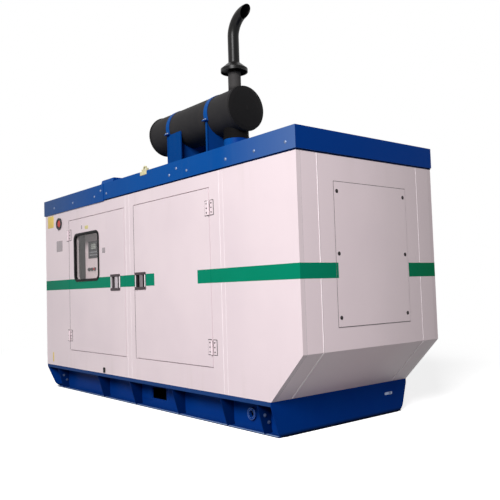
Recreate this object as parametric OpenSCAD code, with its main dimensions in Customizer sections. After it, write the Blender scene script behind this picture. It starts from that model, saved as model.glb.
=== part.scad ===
// Silent diesel generator set: a sheet-steel canopy with a sloped radiator end stands on a
// skid base of recessed channels, and carries its exhaust silencer on the roof.
// +X runs to the radiator end, -Y is the side with the control window, Z = 0 is the ground.

/* [Canopy] */
// Length of the canopy walls
body_l = 4266; // [4100:2:4600]
// Width of the canopy walls
body_w = 1500; // [1460:2:1700]
// Height of the walls from the base to the roof
wall_h = 1721; // [1650:1:1850]
// Thickness of a wall panel with its lining
wall_t = 40; // [30:1:50]
// Length taken by the slope under the radiator end
slope_run = 336; // [250:1:450]
// Height taken by the slope under the radiator end
slope_rise = 343; // [250:1:450]
// Width of a folded seam line in a panel
seam_w = 4; // [2:0.5:6]

/* [Roof] */
// Height of the roof fascia
fascia_h = 159; // [120:1:200]
// Thickness of the lined roof deck
roof_t = 40; // [30:1:50]
// How far the fascia stands outside the walls
roof_over = 8; // [4:1:20]
// How far the first section reaches below the others
skirt_drop = 12; // [4:1:25]
// Place of the joint after the first roof section
roof_joint_1 = -640; // [-800:5:-500]
// Place of the joint before the last roof section
roof_joint_2 = 715; // [700:5:900]
// Width of the cap over the first roof joint
cap_w = 250; // [150:5:300]
// Height of the cap over the first roof joint
cap_h = 40; // [20:1:60]

/* [Base] */
// Height of the skid base
base_h = 257; // [220:1:300]
// Thickness of the base plates
base_t = 6; // [4:1:10]
// Depth of the recess between flange edge and web
web_recess = 140; // [100:2:180]
// Height of the lip that folds down from the top flange
lip_h = 32; // [20:1:45]
// How far the foot flange stays inside the canopy face
foot_inset = 70; // [40:1:90]
// Length taken by the slanted left end of the base
toe_run = 98; // [40:1:150]
// Thickness of the end plates and ribs
end_t = 8; // [6:1:12]
// Radius of the lower corners of the end plates
end_corner_r = 85; // [30:1:90]
// Length of the access hole in the web
hatch_l = 236; // [150:2:260]
// Height of the access hole in the web
hatch_h = 104; // [80:1:120]
// Bore of the drag eye in the web
drag_bore = 56; // [40:1:70]

/* [Doors] */
// Thickness of a door
door_t = 35; // [25:1:35]
// Gap round a door
door_gap = 6; // [5:0.5:10]
// Height of the door's lower edge over the ground
door_low = 452; // [400:1:500]
// Height of a door
door_h = 1396; // [1300:1:1420]
// Width of the control door
control_w = 1239; // [1100:1:1280]
// Width of the service door
service_w = 1190; // [1100:1:1280]
// Width of the post between the doors
post_w = 176; // [120:1:260]
// Place of the middle of that post
post_x = -155; // [-250:1:-60]
// Height of a hinge
hinge_h = 112; // [80:1:140]
// Width of a hinge leaf
leaf_w = 54; // [40:1:70]
// Radius of a hinge pin
pin_r = 5; // [4:0.5:6]

/* [Window and latches] */
// Width of the window with its rubber frame
window_w = 588; // [400:1:640]
// Height of the window with its rubber frame
window_h = 514; // [400:1:560]
// Corner radius of the window
window_r = 70; // [40:1:110]
// Width of the rubber frame
gasket_w = 25; // [15:1:35]
// Distance from the window to the door's hinge edge
window_edge = 128; // [60:1:200]
// Height of the window's lower edge over the door's
window_low = 728; // [700:1:820]
// Width of a latch plate
latch_w = 192; // [150:1:220]
// Height of a latch plate
latch_h = 158; // [120:1:200]
// Height of the latch middle over the door's lower edge
latch_mid = 698; // [600:1:720]

/* [Silencer] */
// Radius of the silencer
silencer_r = 202; // [160:1:240]
// Length of the silencer
silencer_l = 1420; // [1200:2:1700]
// Place of the silencer's middle along the canopy
silencer_x = 31; // [-100:1:100]
// Height of the silencer's axis over the roof
silencer_up = 562; // [480:1:620]
// Distance between the two saddles
saddle_pitch = 660; // [500:2:800]
// Width of a strap
strap_w = 58; // [40:1:80]
// Radius of the exhaust riser under the silencer
riser_r = 118; // [90:1:130]
// Place of the riser and the tail pipe
pipe_x = 560; // [480:1:600]
// Radius of the outlet stub
stub_r = 60; // [56:1:70]
// Radius of the tail pipe
tail_r = 53; // [45:0.5:54]
// Radius of the rain collar
collar_r = 127; // [100:1:150]
// Bend radius of the tail pipe
bend_r = 193; // [150:1:240]
// Height of the outlet stub over the silencer's axis
stub_rise = 370; // [320:1:420]
// Height of the straight tail pipe over the stub
tail_rise = 340; // [260:1:420]
// Height of the roof sleeve round the riser
sleeve_h = 321; // [200:1:340]

/* [Machine] */
// Height of the crankshaft over the base
shaft_up = 560; // [500:1:620]
// Radius of the alternator
alternator_r = 285; // [230:1:290]
// Length of the alternator
alternator_l = 760; // [600:2:850]
// Length of the engine block
engine_l = 1080; // [900:2:1150]
// Width of the radiator
radiator_w = 1100; // [900:2:1200]
// Height of the radiator
radiator_h = 1120; // [900:2:1250]

/* [Hidden] */
$fn = 64;
seat = 0.3;
eps = 1;
far = 10000;

steel_white = [0.93, 0.88, 0.89];
steel_blue = [0.10, 0.27, 0.56];
dark_blue = [0.03, 0.14, 0.40];
soot_black = [0.07, 0.06, 0.06];
rubber_black = [0.05, 0.05, 0.05];
latch_grey = [0.55, 0.54, 0.55];

left_x = -body_l / 2;
right_x = body_l / 2;
half_w = body_w / 2;
inner_w = half_w - wall_t;
wall_top = base_h + wall_h;
roof_top = wall_top + fascia_h;
base_right_x = right_x - slope_run;
web_y = -half_w + web_recess;
foot_y = -half_w + foot_inset;

door_top = door_low + door_h;
control_right = post_x - post_w / 2 - door_gap;
control_left = control_right - control_w;
service_left = post_x + post_w / 2 + door_gap;
service_right = service_left + service_w;
door_back_y = -half_w + door_t;
frame_t = 15;
frame_lap = 20;
knuckle_r = pin_r + 4;
leaf_t = 4;
hinge_y = -half_w - knuckle_r - 2;
control_hinge_x = control_left - door_gap / 2;
service_hinge_x = service_right + door_gap / 2;
hinge_high = door_low + door_h - 158;
hinge_low = door_low + 152;
end_seam_y = 555;

window_x = control_left + window_edge + window_w / 2;
window_z = door_low + window_low + window_h / 2;
latch_z = door_low + latch_mid;
latch_frame = 14;
latch_proud = 5;
latch_depth = 24;
control_latch_x = control_right - 184;
service_latch_x = service_left + 104;

silencer_z = roof_top + silencer_up;
saddle_t = 8;
saddle_flange = 24;
wide_saddle_l = 247;
saddle_strip_w = 90;
saddle_strip_t = 5;
saddle_half_w = 198;
strap_t = 4;
ear_drop = 70;
stub_top = silencer_z + stub_rise;
tail_low = stub_top - 60;
tail_straight = stub_top + tail_rise;
sleeve_t = 4;
inner_riser_r = riser_r - sleeve_t - 3;
tail_wall = 3;

shaft_z = base_h + shaft_up;
skid_h = 80;
skid_w = 80;
skid_y = 300;
engine_left = -250;
engine_right = engine_left + engine_l;
block_rise = 400;
block_top = shaft_z + block_rise;
block_half_w = 215;
manifold_z = block_top + 20;
housing_t = 80;
alternator_right = engine_left - housing_t;
fan_room = 330;
radiator_x = engine_right + fan_room;
radiator_t = 150;
fan_z = shaft_z + 60;
fan_r = 350;
shroud_l = 60;
machine_foot_y = skid_y + skid_w * 0.75;
cabinet_shift = 59;
cabinet_x = window_x - cabinet_shift;
cabinet_w = 560;
cabinet_d = 250;
cabinet_low = 1130;
cabinet_h = 630;
cabinet_y = -half_w + 150;

// ---- helpers ----

// extrudes an outline drawn in X and Z, from y_in towards -Y
module along_side(y_in, t) {
    translate([0, y_in, 0]) rotate([90, 0, 0]) linear_extrude(t) children();
}

// extrudes an outline drawn in Y and Z, from x0 towards +X
module across(x0, t) {
    translate([x0, 0, 0]) rotate([90, 0, 90]) linear_extrude(t) children();
}

module box_between(low, high) {
    translate(low) cube(high - low);
}

module both_sides() {
    children();
    mirror([0, 1, 0]) children();
}

module rounded_rect(w, h, r) {
    square([w - 2 * r, h], center = true);
    square([w, h - 2 * r], center = true);
    for (sx = [-1, 1], sz = [-1, 1]) translate([sx * (w / 2 - r), sz * (h / 2 - r)]) circle(r);
}

// ---- skid base ----

// outline of the base seen from the side, without its end plates
module base_outline(inset) {
    slant = toe_run / base_h;
    polygon([
        [left_x + inset, base_h], [base_right_x - inset, base_h], [base_right_x - inset, 0],
        [left_x + slant * base_h + inset, 0]]);
}

hatch_x = 97;
hatch_z = 128;
doubler_l = 173;
doubler_t = 5;
doubler_gap = 12;
doubler_below = 16;
doubler_above = 8;
drag_x = 1430;
drag_z = 116;
drag_boss_r = drag_bore / 2 + 16;
drag_boss_l = 22;

// one plate of a rail: an upright or level strip in Y and Z, cut to the base's outline
module rail_plate(y0, y1, z0, z1) {
    intersection() {
        across(left_x, body_l) translate([y0, z0]) square([y1 - y0, z1 - z0]);
        along_side(0, half_w + eps) base_outline(end_t);
    }
}

// rail welded from a web, a top flange with its lip and a foot flange
module base_rail() {
    rail_plate(-half_w, web_y + base_t, base_h - base_t, base_h);
    rail_plate(-half_w, -half_w + base_t, base_h - lip_h, base_h - base_t - seat);
    rail_plate(foot_y, web_y - seat, 0, base_t);
    difference() {
        union() {
            rail_plate(web_y, web_y + base_t, 0, base_h - base_t - seat);
            // ring of the drag eye
            translate([drag_x, web_y, drag_z]) rotate([90, 0, 0]) cylinder(drag_boss_l, r = drag_boss_r);
        }
        box_between([hatch_x - hatch_l / 2, web_y - eps, hatch_z - hatch_h / 2],
            [hatch_x + hatch_l / 2, web_y + base_t + eps, hatch_z + hatch_h / 2]);
        translate([drag_x, web_y + base_t + eps, drag_z]) rotate([90, 0, 0])
            cylinder(drag_boss_l + base_t + 2 * eps, r = drag_bore / 2);
    }
    // doubler plate beside the access hole
    doubler_right = hatch_x - hatch_l / 2 - doubler_gap;
    box_between(
        [doubler_right - doubler_l, web_y - seat - doubler_t, hatch_z - hatch_h / 2 - doubler_below],
        [doubler_right, web_y - seat, hatch_z + hatch_h / 2 + doubler_above]);
}

module base_front_rail() {
    color(dark_blue) base_rail();
}

module base_rear_rail() {
    color(dark_blue) mirror([0, 1, 0]) base_rail();
}

// ribs and cross members keep their distance from the ends, and their share of the length between
bay_xs = [for (share = [-0.201, -0.049, 0.122, 0.281]) share * body_l];
rib_xs = concat([left_x + 282], bay_xs, [base_right_x - 159]);

module rib_section() {
    polygon([
        [-half_w + base_t, base_h - base_t], [web_y, base_h - base_t], [web_y, base_t],
        [foot_y, base_t], [-half_w + base_t, base_h - lip_h]]);
}

module base_ribs() {
    color(dark_blue) both_sides() for (x = rib_xs) across(x - end_t, end_t) rib_section();
}

// outline of an end plate: it narrows to the foot flanges and has round lower corners
module end_outline() {
    side_angle = atan2(base_h - lip_h, foot_inset);
    corner_y = -foot_y - end_corner_r / tan((180 - side_angle) / 2);
    steps = 8;
    corner = [for (i = [0 : steps]) let (a = -90 + i * side_angle / steps)
        [corner_y + end_corner_r * cos(a), end_corner_r + end_corner_r * sin(a)]];
    polygon(concat(
        [[-half_w, base_h - lip_h]], [for (i = [steps : -1 : 0]) [-corner[i].x, corner[i].y]],
        corner, [[half_w, base_h - lip_h], [half_w, base_h], [-half_w, base_h]]));
}

module base_left_end() {
    color(dark_blue) intersection() {
        across(left_x, toe_run + 2 * end_t) end_outline();
        along_side(half_w + eps, body_w + 2 * eps) difference() {
            base_outline(0);
            base_outline(end_t);
            translate([base_right_x - 2 * end_t, -eps]) square([3 * end_t, base_h + 2 * eps]);
        }
    }
}

module base_right_end() {
    color(dark_blue) across(base_right_x - end_t, end_t) end_outline();
}

cross_from_left = 433;
cross_from_right = 197;
cross_xs = concat([left_x + cross_from_left], bay_xs, [base_right_x - cross_from_right]);
cross_w = 90;
cross_h = 120;

module base_cross_members() {
    color(dark_blue) for (x = cross_xs) box_between(
        [x - cross_w / 2, web_y + base_t, base_h - base_t - cross_h],
        [x + cross_w / 2, -web_y - base_t, base_h - base_t]);
}

module base_deck() {
    color(dark_blue) intersection() {
        box_between([left_x, web_y + base_t, base_h - base_t], [right_x, -web_y - base_t, base_h]);
        along_side(half_w, body_w) base_outline(end_t);
    }
}

// ---- walls ----

module side_wall_outline() {
    polygon([
        [left_x, base_h], [base_right_x, base_h], [right_x, base_h + slope_rise],
        [right_x, wall_top], [left_x, wall_top]]);
}

module front_wall_left() {
    color(steel_white) box_between([left_x, -half_w, base_h],
        [control_left - door_gap, -inner_w, wall_top]);
}

module front_wall_post() {
    color(steel_white) box_between([control_right + door_gap, -half_w, door_low - door_gap],
        [service_left - door_gap, -inner_w, door_top + door_gap]);
}

seam_x = service_right + 135;

module front_wall_right() {
    color(steel_white) difference() {
        along_side(-inner_w, wall_t) intersection() {
            side_wall_outline();
            translate([service_right + door_gap, 0]) square([body_l, wall_top]);
        }
        box_between([seam_x - seam_w / 2, -half_w - eps, 0], [seam_x + seam_w / 2, -half_w + seam_w, far]);
    }
}

module front_wall_header() {
    color(steel_white) box_between([control_left - door_gap, -half_w, door_top + door_gap],
        [service_right + door_gap, -inner_w, wall_top]);
}

module front_wall_sill() {
    color(steel_white) box_between([control_left - door_gap, -half_w, base_h],
        [service_right + door_gap, -inner_w, door_low - door_gap]);
}

// outline of both doorways, grown by a margin
module doorways(grow) {
    for (span = [[control_left, control_right], [service_left, service_right]])
        translate([span[0] - grow, door_low - grow])
            square([span[1] - span[0] + 2 * grow, door_h + 2 * grow]);
}

module door_frames() {
    color(rubber_black) both_sides() along_side(-inner_w + frame_t, frame_t) difference() {
        doorways(door_gap + frame_lap);
        doorways(-frame_lap);
    }
}

module rear_wall() {
    color(steel_white) difference() {
        along_side(half_w, wall_t) difference() {
            side_wall_outline();
            doorways(door_gap);
        }
        box_between([seam_x - seam_w / 2, half_w - seam_w, 0], [seam_x + seam_w / 2, half_w + eps, far]);
    }
}

// ---- ends ----

module left_end_wall() {
    color(steel_white) difference() {
        box_between([left_x, -inner_w, base_h], [left_x + wall_t, inner_w, wall_top]);
        for (s = [-1, 1]) box_between([left_x - eps, s * end_seam_y - seam_w / 2, 0],
            [left_x + seam_w, s * end_seam_y + seam_w / 2, far]);
        box_between([left_x - eps, -louvre_w / 2, louvre_low],
            [left_x + wall_t + eps, louvre_w / 2, louvre_low + louvre_h]);
    }
}

louvre_w = 760;
louvre_h = 620;
louvre_low = 560;
blade_pitch = 62;

cheek_t = 16;

// blades slope down and outwards between two side cheeks
module intake_louvre() {
    blade_l = louvre_w - 2 * cheek_t - 2 * seat;
    color(steel_white) {
        for (s = [-1, 1]) box_between(
            [left_x, s * (louvre_w - cheek_t) / 2 - cheek_t / 2, louvre_low],
            [left_x + wall_t, s * (louvre_w - cheek_t) / 2 + cheek_t / 2, louvre_low + louvre_h]);
        for (i = [0 : floor(louvre_h / blade_pitch) - 1]) along_side(blade_l / 2, blade_l)
            translate([left_x + 2, louvre_low + 8 + i * blade_pitch])
                polygon([[0, 0], [3, 0], [wall_t - 2, 32], [wall_t - 5, 32]]);
    }
}

module right_end_wall() {
    color(steel_white) difference() {
        box_between([right_x - wall_t, -inner_w, base_h + slope_rise], [right_x, inner_w, wall_top]);
        for (s = [-1, 1]) box_between([right_x - seam_w, s * end_seam_y - seam_w / 2, 0],
            [right_x + eps, s * end_seam_y + seam_w / 2, far]);
        box_between([right_x - wall_t - eps, -cover_w / 2 + cover_lap, cover_low + cover_lap],
            [right_x + eps, cover_w / 2 - cover_lap, cover_low + cover_h - cover_lap]);
    }
}

cover_w = 800;
cover_h = 1017;
cover_low = 763;
cover_lap = 45;
cover_t = 3;

module right_end_cover() {
    color(steel_white) box_between([right_x, -cover_w / 2, cover_low],
        [right_x + cover_t, cover_w / 2, cover_low + cover_h]);
}

module right_end_slope() {
    slope_len = sqrt(slope_run * slope_run + slope_rise * slope_rise);
    color(steel_white) difference() {
        along_side(inner_w, 2 * inner_w) polygon([
            [base_right_x, base_h], [right_x, base_h + slope_rise],
            [right_x - wall_t, base_h + slope_rise],
            [base_right_x - wall_t * slope_len / slope_rise, base_h]]);
        for (s = [-1, 1]) along_side(s * end_seam_y + seam_w / 2, seam_w) polygon([
            [base_right_x, base_h - eps], [right_x + eps, base_h + slope_rise - eps],
            [right_x + eps - 2 * seam_w, base_h + slope_rise - eps],
            [base_right_x - 2 * seam_w, base_h - eps]]);
    }
}

// ---- roof ----

module roof_section(x0, x1, over, drop) {
    outer_w = half_w + over;
    across(x0, x1 - x0) difference() {
        translate([-outer_w, wall_top - drop]) square([2 * outer_w, fascia_h + drop]);
        translate([-inner_w, wall_top - drop - eps]) square([2 * inner_w, fascia_h + drop - roof_t + eps]);
        for (s = [-1, 1]) translate([s * half_w - (s < 0 ? 0 : wall_t + eps) , wall_top - drop - eps])
            square([wall_t + eps, drop + eps]);
    }
}

module roof_left() {
    over = roof_over + 4;
    color(steel_blue) difference() {
        union() {
            roof_section(left_x - over, roof_joint_1, over, skirt_drop);
            box_between([left_x - over, -half_w, wall_top - skirt_drop],
                [left_x + wall_t, half_w, roof_top - roof_t]);
        }
        box_between([left_x - seat, -half_w, wall_top - skirt_drop - eps],
            [left_x + wall_t + eps, half_w, wall_top]);
    }
}

// middle section, with a sleeve round the hole for the riser
module roof_middle() {
    color(steel_blue) difference() {
        union() {
            roof_section(roof_joint_1, roof_joint_2, roof_over, 0);
            translate([pipe_x, 0, roof_top - eps]) cylinder(sleeve_h + eps, r = riser_r);
        }
        translate([pipe_x, 0, roof_top - roof_t - eps])
            cylinder(roof_t + sleeve_h + 2 * eps, r = riser_r - sleeve_t);
    }
}

module roof_right() {
    color(steel_blue) {
        roof_section(roof_joint_2, right_x + roof_over, roof_over, 0);
        box_between([right_x - wall_t, -half_w, wall_top],
            [right_x + roof_over, half_w, roof_top - roof_t]);
    }
}

module roof_joint_cap() {
    color(steel_blue) across(roof_joint_1 - cap_w / 4, cap_w) polygon([
        [-half_w, roof_top], [half_w, roof_top], [half_w - 12, roof_top + cap_h],
        [-half_w + 12, roof_top + cap_h]]);
}

lug_x = 130;
lug_w = 104;
lug_h = 56;
lug_t = 14;
lug_hole_r = 17;

module lifting_lugs() {
    color([0.85, 0.80, 0.55]) both_sides() difference() {
        along_side(-half_w + 30, lug_t) union() {
            translate([lug_x - lug_w / 2, roof_top]) square([lug_w, lug_h / 2]);
            translate([lug_x, roof_top + lug_h / 2]) circle(lug_h / 2);
        }
        translate([lug_x, -half_w + 30 + eps, roof_top + lug_h / 2]) rotate([90, 0, 0])
            cylinder(lug_t + 2 * eps, r = lug_hole_r);
    }
}

// ---- exhaust ----

// can of the silencer: a rolled shell with shallow dished heads and seam rims
module silencer_can(r, l, dish) {
    rotate([0, 90, 0]) rotate_extrude($fn = 96) polygon([
        [0, -l / 2 - dish], [r * 0.55, -l / 2 - dish * 0.7], [r * 0.85, -l / 2 - dish * 0.2],
        [r, -l / 2 + 6], [r, l / 2 - 6], [r * 0.85, l / 2 + dish * 0.2],
        [r * 0.55, l / 2 + dish * 0.7], [0, l / 2 + dish]]);
}

module silencer() {
    rim_l = 16;
    color(soot_black) difference() {
        union() {
            translate([silencer_x, 0, silencer_z]) silencer_can(silencer_r, silencer_l - 28, 14);
            for (s = [-1, 1]) translate([silencer_x + s * (silencer_l / 2 - 22 - rim_l / 2), 0, silencer_z])
                rotate([0, 90, 0]) cylinder(rim_l, r = silencer_r + 4, center = true);
            translate([pipe_x, 0, silencer_z]) cylinder(stub_top - silencer_z, r = stub_r);
        }
        translate([pipe_x, 0, tail_low - seat]) cylinder(far, r = tail_r + seat);
    }
}

saddle_xs = [silencer_x - saddle_pitch / 2, silencer_x + saddle_pitch / 2];

// cuts the round cradle out of plates between two places along the silencer
module cradled(x0, x1) {
    difference() {
        children();
        translate([x0 - eps, 0, silencer_z]) rotate([0, 90, 0])
            cylinder(x1 - x0 + 2 * eps, r = silencer_r + seat);
    }
}

// upright plate across the roof, up to the ears of the strap
module saddle_plate(x0) {
    across(x0, saddle_t) translate([-saddle_half_w, roof_top])
        square([2 * saddle_half_w, silencer_z - ear_drop - roof_top]);
}

// plate along each side, with its outer face at a distance from the middle
module saddle_sides(x0, x1, out_y, t) {
    for (s = [-1, 1]) box_between(
        [x0, s * (out_y - t / 2) - t / 2, roof_top],
        [x1, s * (out_y - t / 2) + t / 2, silencer_z - ear_drop]);
}

// narrow saddle: one plate with a flange along each upright edge and a foot
module narrow_saddle(x) {
    low = x - saddle_flange / 2;
    high = x + saddle_flange / 2;
    cradled(low, high) {
        saddle_plate(x - saddle_t / 2);
        saddle_sides(low, high, saddle_half_w, saddle_t);
        box_between([x - 2 * saddle_flange, -saddle_half_w, roof_top],
            [x + saddle_flange, saddle_half_w, roof_top + saddle_t]);
    }
}

// wide saddle: two plates joined by side plates, with a strip from the second plate outwards
module wide_saddle(x) {
    low = x - saddle_flange;
    high = low + wide_saddle_l;
    cradled(low, high) {
        saddle_plate(low);
        saddle_plate(high - saddle_strip_w);
        saddle_sides(low, high, saddle_half_w - saddle_strip_t, saddle_t);
        saddle_sides(high - saddle_strip_w, high, saddle_half_w, saddle_strip_t);
    }
}

module silencer_saddles() {
    color(steel_blue) {
        wide_saddle(saddle_xs[0]);
        narrow_saddle(saddle_xs[1]);
    }
}

// band over the top of the silencer, with an ear bolted down on each side
module strap(x) {
    ear_z = silencer_z - ear_drop;
    band_r = silencer_r + seat;
    difference() {
        union() {
            translate([x, 0, silencer_z]) rotate([0, 90, 0])
                cylinder(strap_w, r = band_r + strap_t, center = true);
            for (s = [-1, 1]) box_between(
                [x - strap_w / 2, s * (saddle_half_w + 11) - 19, ear_z],
                [x + strap_w / 2, s * (saddle_half_w + 11) + 19, ear_z + strap_t + 2]);
        }
        translate([x, 0, silencer_z]) rotate([0, 90, 0])
            cylinder(strap_w + 2 * eps, r = band_r, center = true);
        translate([x - strap_w, -far / 2, ear_z - far]) cube([2 * strap_w, far, far]);
    }
}

module silencer_straps() {
    color(steel_blue) for (x = saddle_xs) strap(x);
}

// black riser over the roof sleeve, and the thinner pipe down to the engine's manifold
module exhaust_riser() {
    low = manifold_z + seat;
    sleeve_top = roof_top + sleeve_h;
    pipe_t = 5;
    color(soot_black) translate([pipe_x, 0, 0]) difference() {
        union() {
            translate([0, 0, sleeve_top + seat]) cylinder(silencer_z - sleeve_top - seat, r = riser_r);
            translate([0, 0, roof_top - roof_t]) cylinder(sleeve_h + roof_t + eps, r = inner_riser_r);
            translate([0, 0, low]) cylinder(roof_top - roof_t - low + eps, r = stub_r);
        }
        translate([-far / 2, 0, silencer_z]) rotate([0, 90, 0]) cylinder(far, r = silencer_r + seat);
        translate([0, 0, low - eps]) cylinder(far, r = stub_r - pipe_t);
    }
}

collar_z = stub_top + 6;

module rain_collar() {
    color(soot_black) translate([pipe_x, 0, collar_z]) rotate_extrude() polygon([
        [tail_r + seat, 85], [tail_r + seat, 78], [collar_r - 3, 26], [collar_r - 3, 0],
        [collar_r, 0], [collar_r, 30], [tail_r + 8, 85]]);
}

module pipe_ring() {
    difference() {
        circle(tail_r);
        circle(tail_r - tail_wall);
    }
}

// upright pipe that bends towards the radiator end and is cut off at a slant
module tail_pipe() {
    bend_deg = 108;
    cut_deg = 89;
    cut_lean = 37;
    color(soot_black) translate([pipe_x, 0, 0]) {
        translate([0, 0, tail_low]) linear_extrude(tail_straight - tail_low) pipe_ring();
        difference() {
            translate([bend_r, 0, tail_straight]) rotate([90, 0, 0]) mirror([1, 0, 0])
                rotate_extrude(angle = bend_deg) translate([bend_r, 0]) pipe_ring();
            translate([bend_r - bend_r * cos(cut_deg), 0, tail_straight + bend_r * sin(cut_deg)])
                rotate([0, cut_lean, 0]) translate([0, -bend_r, -bend_r]) cube(2 * bend_r);
        }
    }
}

// ---- doors ----

// one leaf of a hinge lies to the +X side of the pin, from z0 up
module hinge_leaf(x, z0, z1, knuckle_low, knuckle_high, bore_r) {
    difference() {
        union() {
            box_between([x + knuckle_r, -half_w - leaf_t, z0], [x + knuckle_r + leaf_w - 8, -half_w, z1]);
            box_between([x, -half_w - leaf_t, knuckle_low], [x + knuckle_r + eps, -half_w, knuckle_high]);
            translate([x, hinge_y, knuckle_low]) cylinder(knuckle_high - knuckle_low, r = knuckle_r);
        }
        translate([x, hinge_y, z0 - eps]) cylinder(z1 - z0 + 2 * eps, r = bore_r);
    }
}

// leaf on the door: the upper knuckle, bored for the pin
module door_leaf(x, z) {
    hinge_leaf(x, z - hinge_h / 2, z + hinge_h / 2, z + seat, z + hinge_h / 2, pin_r + 0.1);
}

// leaf on the wall: the lower knuckle and the pin
module wall_leaf(x, z) {
    translate([2 * x, 0, 0]) mirror([1, 0, 0])
        hinge_leaf(x, z - hinge_h / 2, z + hinge_h / 2, z - hinge_h / 2, z, 0.01);
    translate([x, hinge_y, z - hinge_h / 2]) cylinder(hinge_h, r = pin_r);
}

module door_slab(x0, x1) {
    box_between([x0, -half_w, door_low], [x1, door_back_y, door_top]);
}

// pocket in the door behind a latch plate
module latch_pocket(x) {
    translate([x, 0, latch_z]) along_side(-half_w + latch_depth, latch_depth + eps)
        square([latch_w - 2 * latch_frame, latch_h - 2 * latch_frame], center = true);
}

module window_outline(grow) {
    translate([window_x, window_z])
        rounded_rect(window_w + 2 * grow, window_h + 2 * grow, window_r + grow);
}

module control_door() {
    color(steel_white) {
        difference() {
            door_slab(control_left, control_right);
            along_side(0, far) window_outline(-gasket_w / 2);
            latch_pocket(control_latch_x);
        }
        for (z = [hinge_low, hinge_high]) door_leaf(control_hinge_x, z);
    }
}

// rubber frame of the window, with a lip on the outside and one on the inside
module window_gasket() {
    lip_t = 7;
    color(rubber_black) {
        for (y = [-half_w, door_back_y + lip_t]) along_side(y, lip_t) difference() {
            window_outline(0);
            window_outline(-gasket_w);
        }
        along_side(door_back_y, door_t) difference() {
            window_outline(-gasket_w / 2);
            window_outline(-gasket_w);
        }
    }
}

module window_glass() {
    glass_t = 6;
    color([0.75, 0.8, 0.8, 0.3]) along_side(-half_w + 14 + glass_t, glass_t) window_outline(-gasket_w);
}

module control_latch() {
    color(latch_grey) latch_body(control_latch_x);
}

module service_latch() {
    color(latch_grey) latch_body(service_latch_x);
}

// recessed paddle latch: a raised plate round a dish, with a bowed paddle down its middle
module latch_body(x) {
    dish_w = latch_w - 2 * latch_frame - 2 * seat;
    dish_h = latch_h - 2 * latch_frame - 2 * seat;
    skin = 2;
    translate([x, -half_w, latch_z]) difference() {
        union() {
            rotate([90, 0, 0]) linear_extrude(latch_proud) rounded_rect(latch_w, latch_h, 8);
            translate([-dish_w / 2, 0, -dish_h / 2]) cube([dish_w, latch_depth - seat, dish_h]);
        }
        difference() {
            translate([-dish_w / 2 + skin, -latch_proud - eps, -dish_h / 2 + skin])
                cube([dish_w - 2 * skin, latch_depth + latch_proud + eps - seat - skin, dish_h - 2 * skin]);
            // paddle with a bowed face
            intersection() {
                translate([0, 40 - latch_proud, -dish_h / 2]) cylinder(dish_h, r = 40);
                translate([-dish_w / 6, -latch_proud, -dish_h / 2])
                    cube([dish_w / 3, latch_depth + latch_proud, dish_h]);
            }
        }
    }
}

module service_door() {
    color(steel_white) {
        difference() {
            door_slab(service_left, service_right);
            latch_pocket(service_latch_x);
        }
        for (z = [hinge_low, hinge_high]) translate([2 * service_hinge_x, 0, 0]) mirror([1, 0, 0])
            door_leaf(service_hinge_x, z);
    }
}

module rear_doors() {
    color(steel_white) mirror([0, 1, 0]) {
        difference() {
            door_slab(control_left, control_right);
            latch_pocket(control_latch_x);
        }
        difference() {
            door_slab(service_left, service_right);
            latch_pocket(service_latch_x);
        }
    }
}

module rear_latches() {
    color(latch_grey) mirror([0, 1, 0]) {
        latch_body(control_latch_x);
        latch_body(service_latch_x);
    }
}

// wall leaves with their pins, and the whole closed hinges of the rear doors
module fixed_hinges() {
    color(steel_white) {
        for (z = [hinge_low, hinge_high]) {
            wall_leaf(control_hinge_x, z);
            translate([2 * service_hinge_x, 0, 0]) mirror([1, 0, 0]) wall_leaf(service_hinge_x, z);
            for (x = [control_hinge_x, service_hinge_x]) mirror([0, 1, 0]) {
                box_between([x - leaf_w, -half_w - leaf_t, z - hinge_h / 2],
                    [x + leaf_w, -half_w, z + hinge_h / 2]);
                translate([x, hinge_y, z - hinge_h / 2]) cylinder(hinge_h, r = knuckle_r);
            }
        }
    }
}

// ---- machine inside ----

module control_cabinet() {
    post = 40;
    hood = 12;
    color([0.82, 0.82, 0.82]) {
        box_between([cabinet_x - cabinet_w / 2, cabinet_y, cabinet_low],
            [cabinet_x + cabinet_w / 2, cabinet_y + cabinet_d, cabinet_low + cabinet_h]);
        // rain hood and door edge of the cabinet
        box_between([cabinet_x - cabinet_w / 2 - hood, cabinet_y - hood, cabinet_low + cabinet_h],
            [cabinet_x + cabinet_w / 2 + hood, cabinet_y + cabinet_d, cabinet_low + cabinet_h + hood]);
        for (s = [-1, 1]) box_between(
            [cabinet_x + s * (cabinet_w / 2 - post) - post / 2, cabinet_y + cabinet_d / 2 - post, base_h],
            [cabinet_x + s * (cabinet_w / 2 - post) + post / 2, cabinet_y + cabinet_d / 2, cabinet_low]);
    }
}

// controller and a row of push buttons under it, on the front of the cabinet
module control_face() {
    controller_w = 240;
    controller_x = cabinet_x - 61;
    controller_h = 180;
    controller_low = cabinet_low + 300;
    controller_t = 12;
    button_r = 18;
    button_pitch = 66;
    button_x = cabinet_x - 102;
    button_z = cabinet_low + 180;
    color([0.2, 0.2, 0.2]) {
        box_between([controller_x - controller_w / 2, cabinet_y - controller_t, controller_low],
            [controller_x + controller_w / 2, cabinet_y, controller_low + controller_h]);
        for (i = [-1 : 1]) translate([button_x + button_pitch * i, cabinet_y, button_z])
            rotate([90, 0, 0]) cylinder(button_r, r = button_r);
    }
}

module inner_skid() {
    color(dark_blue) both_sides() box_between(
        [alternator_right - alternator_l - 60, -skid_y - skid_w, base_h],
        [radiator_x + radiator_t, -skid_y, base_h + skid_h]);
}

// pair of feet from the machine down to the inner skid
module machine_feet(x, l, in_y, top) {
    both_sides() box_between([x, -machine_foot_y, base_h + skid_h], [x + l, -in_y, top]);
}

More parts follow.
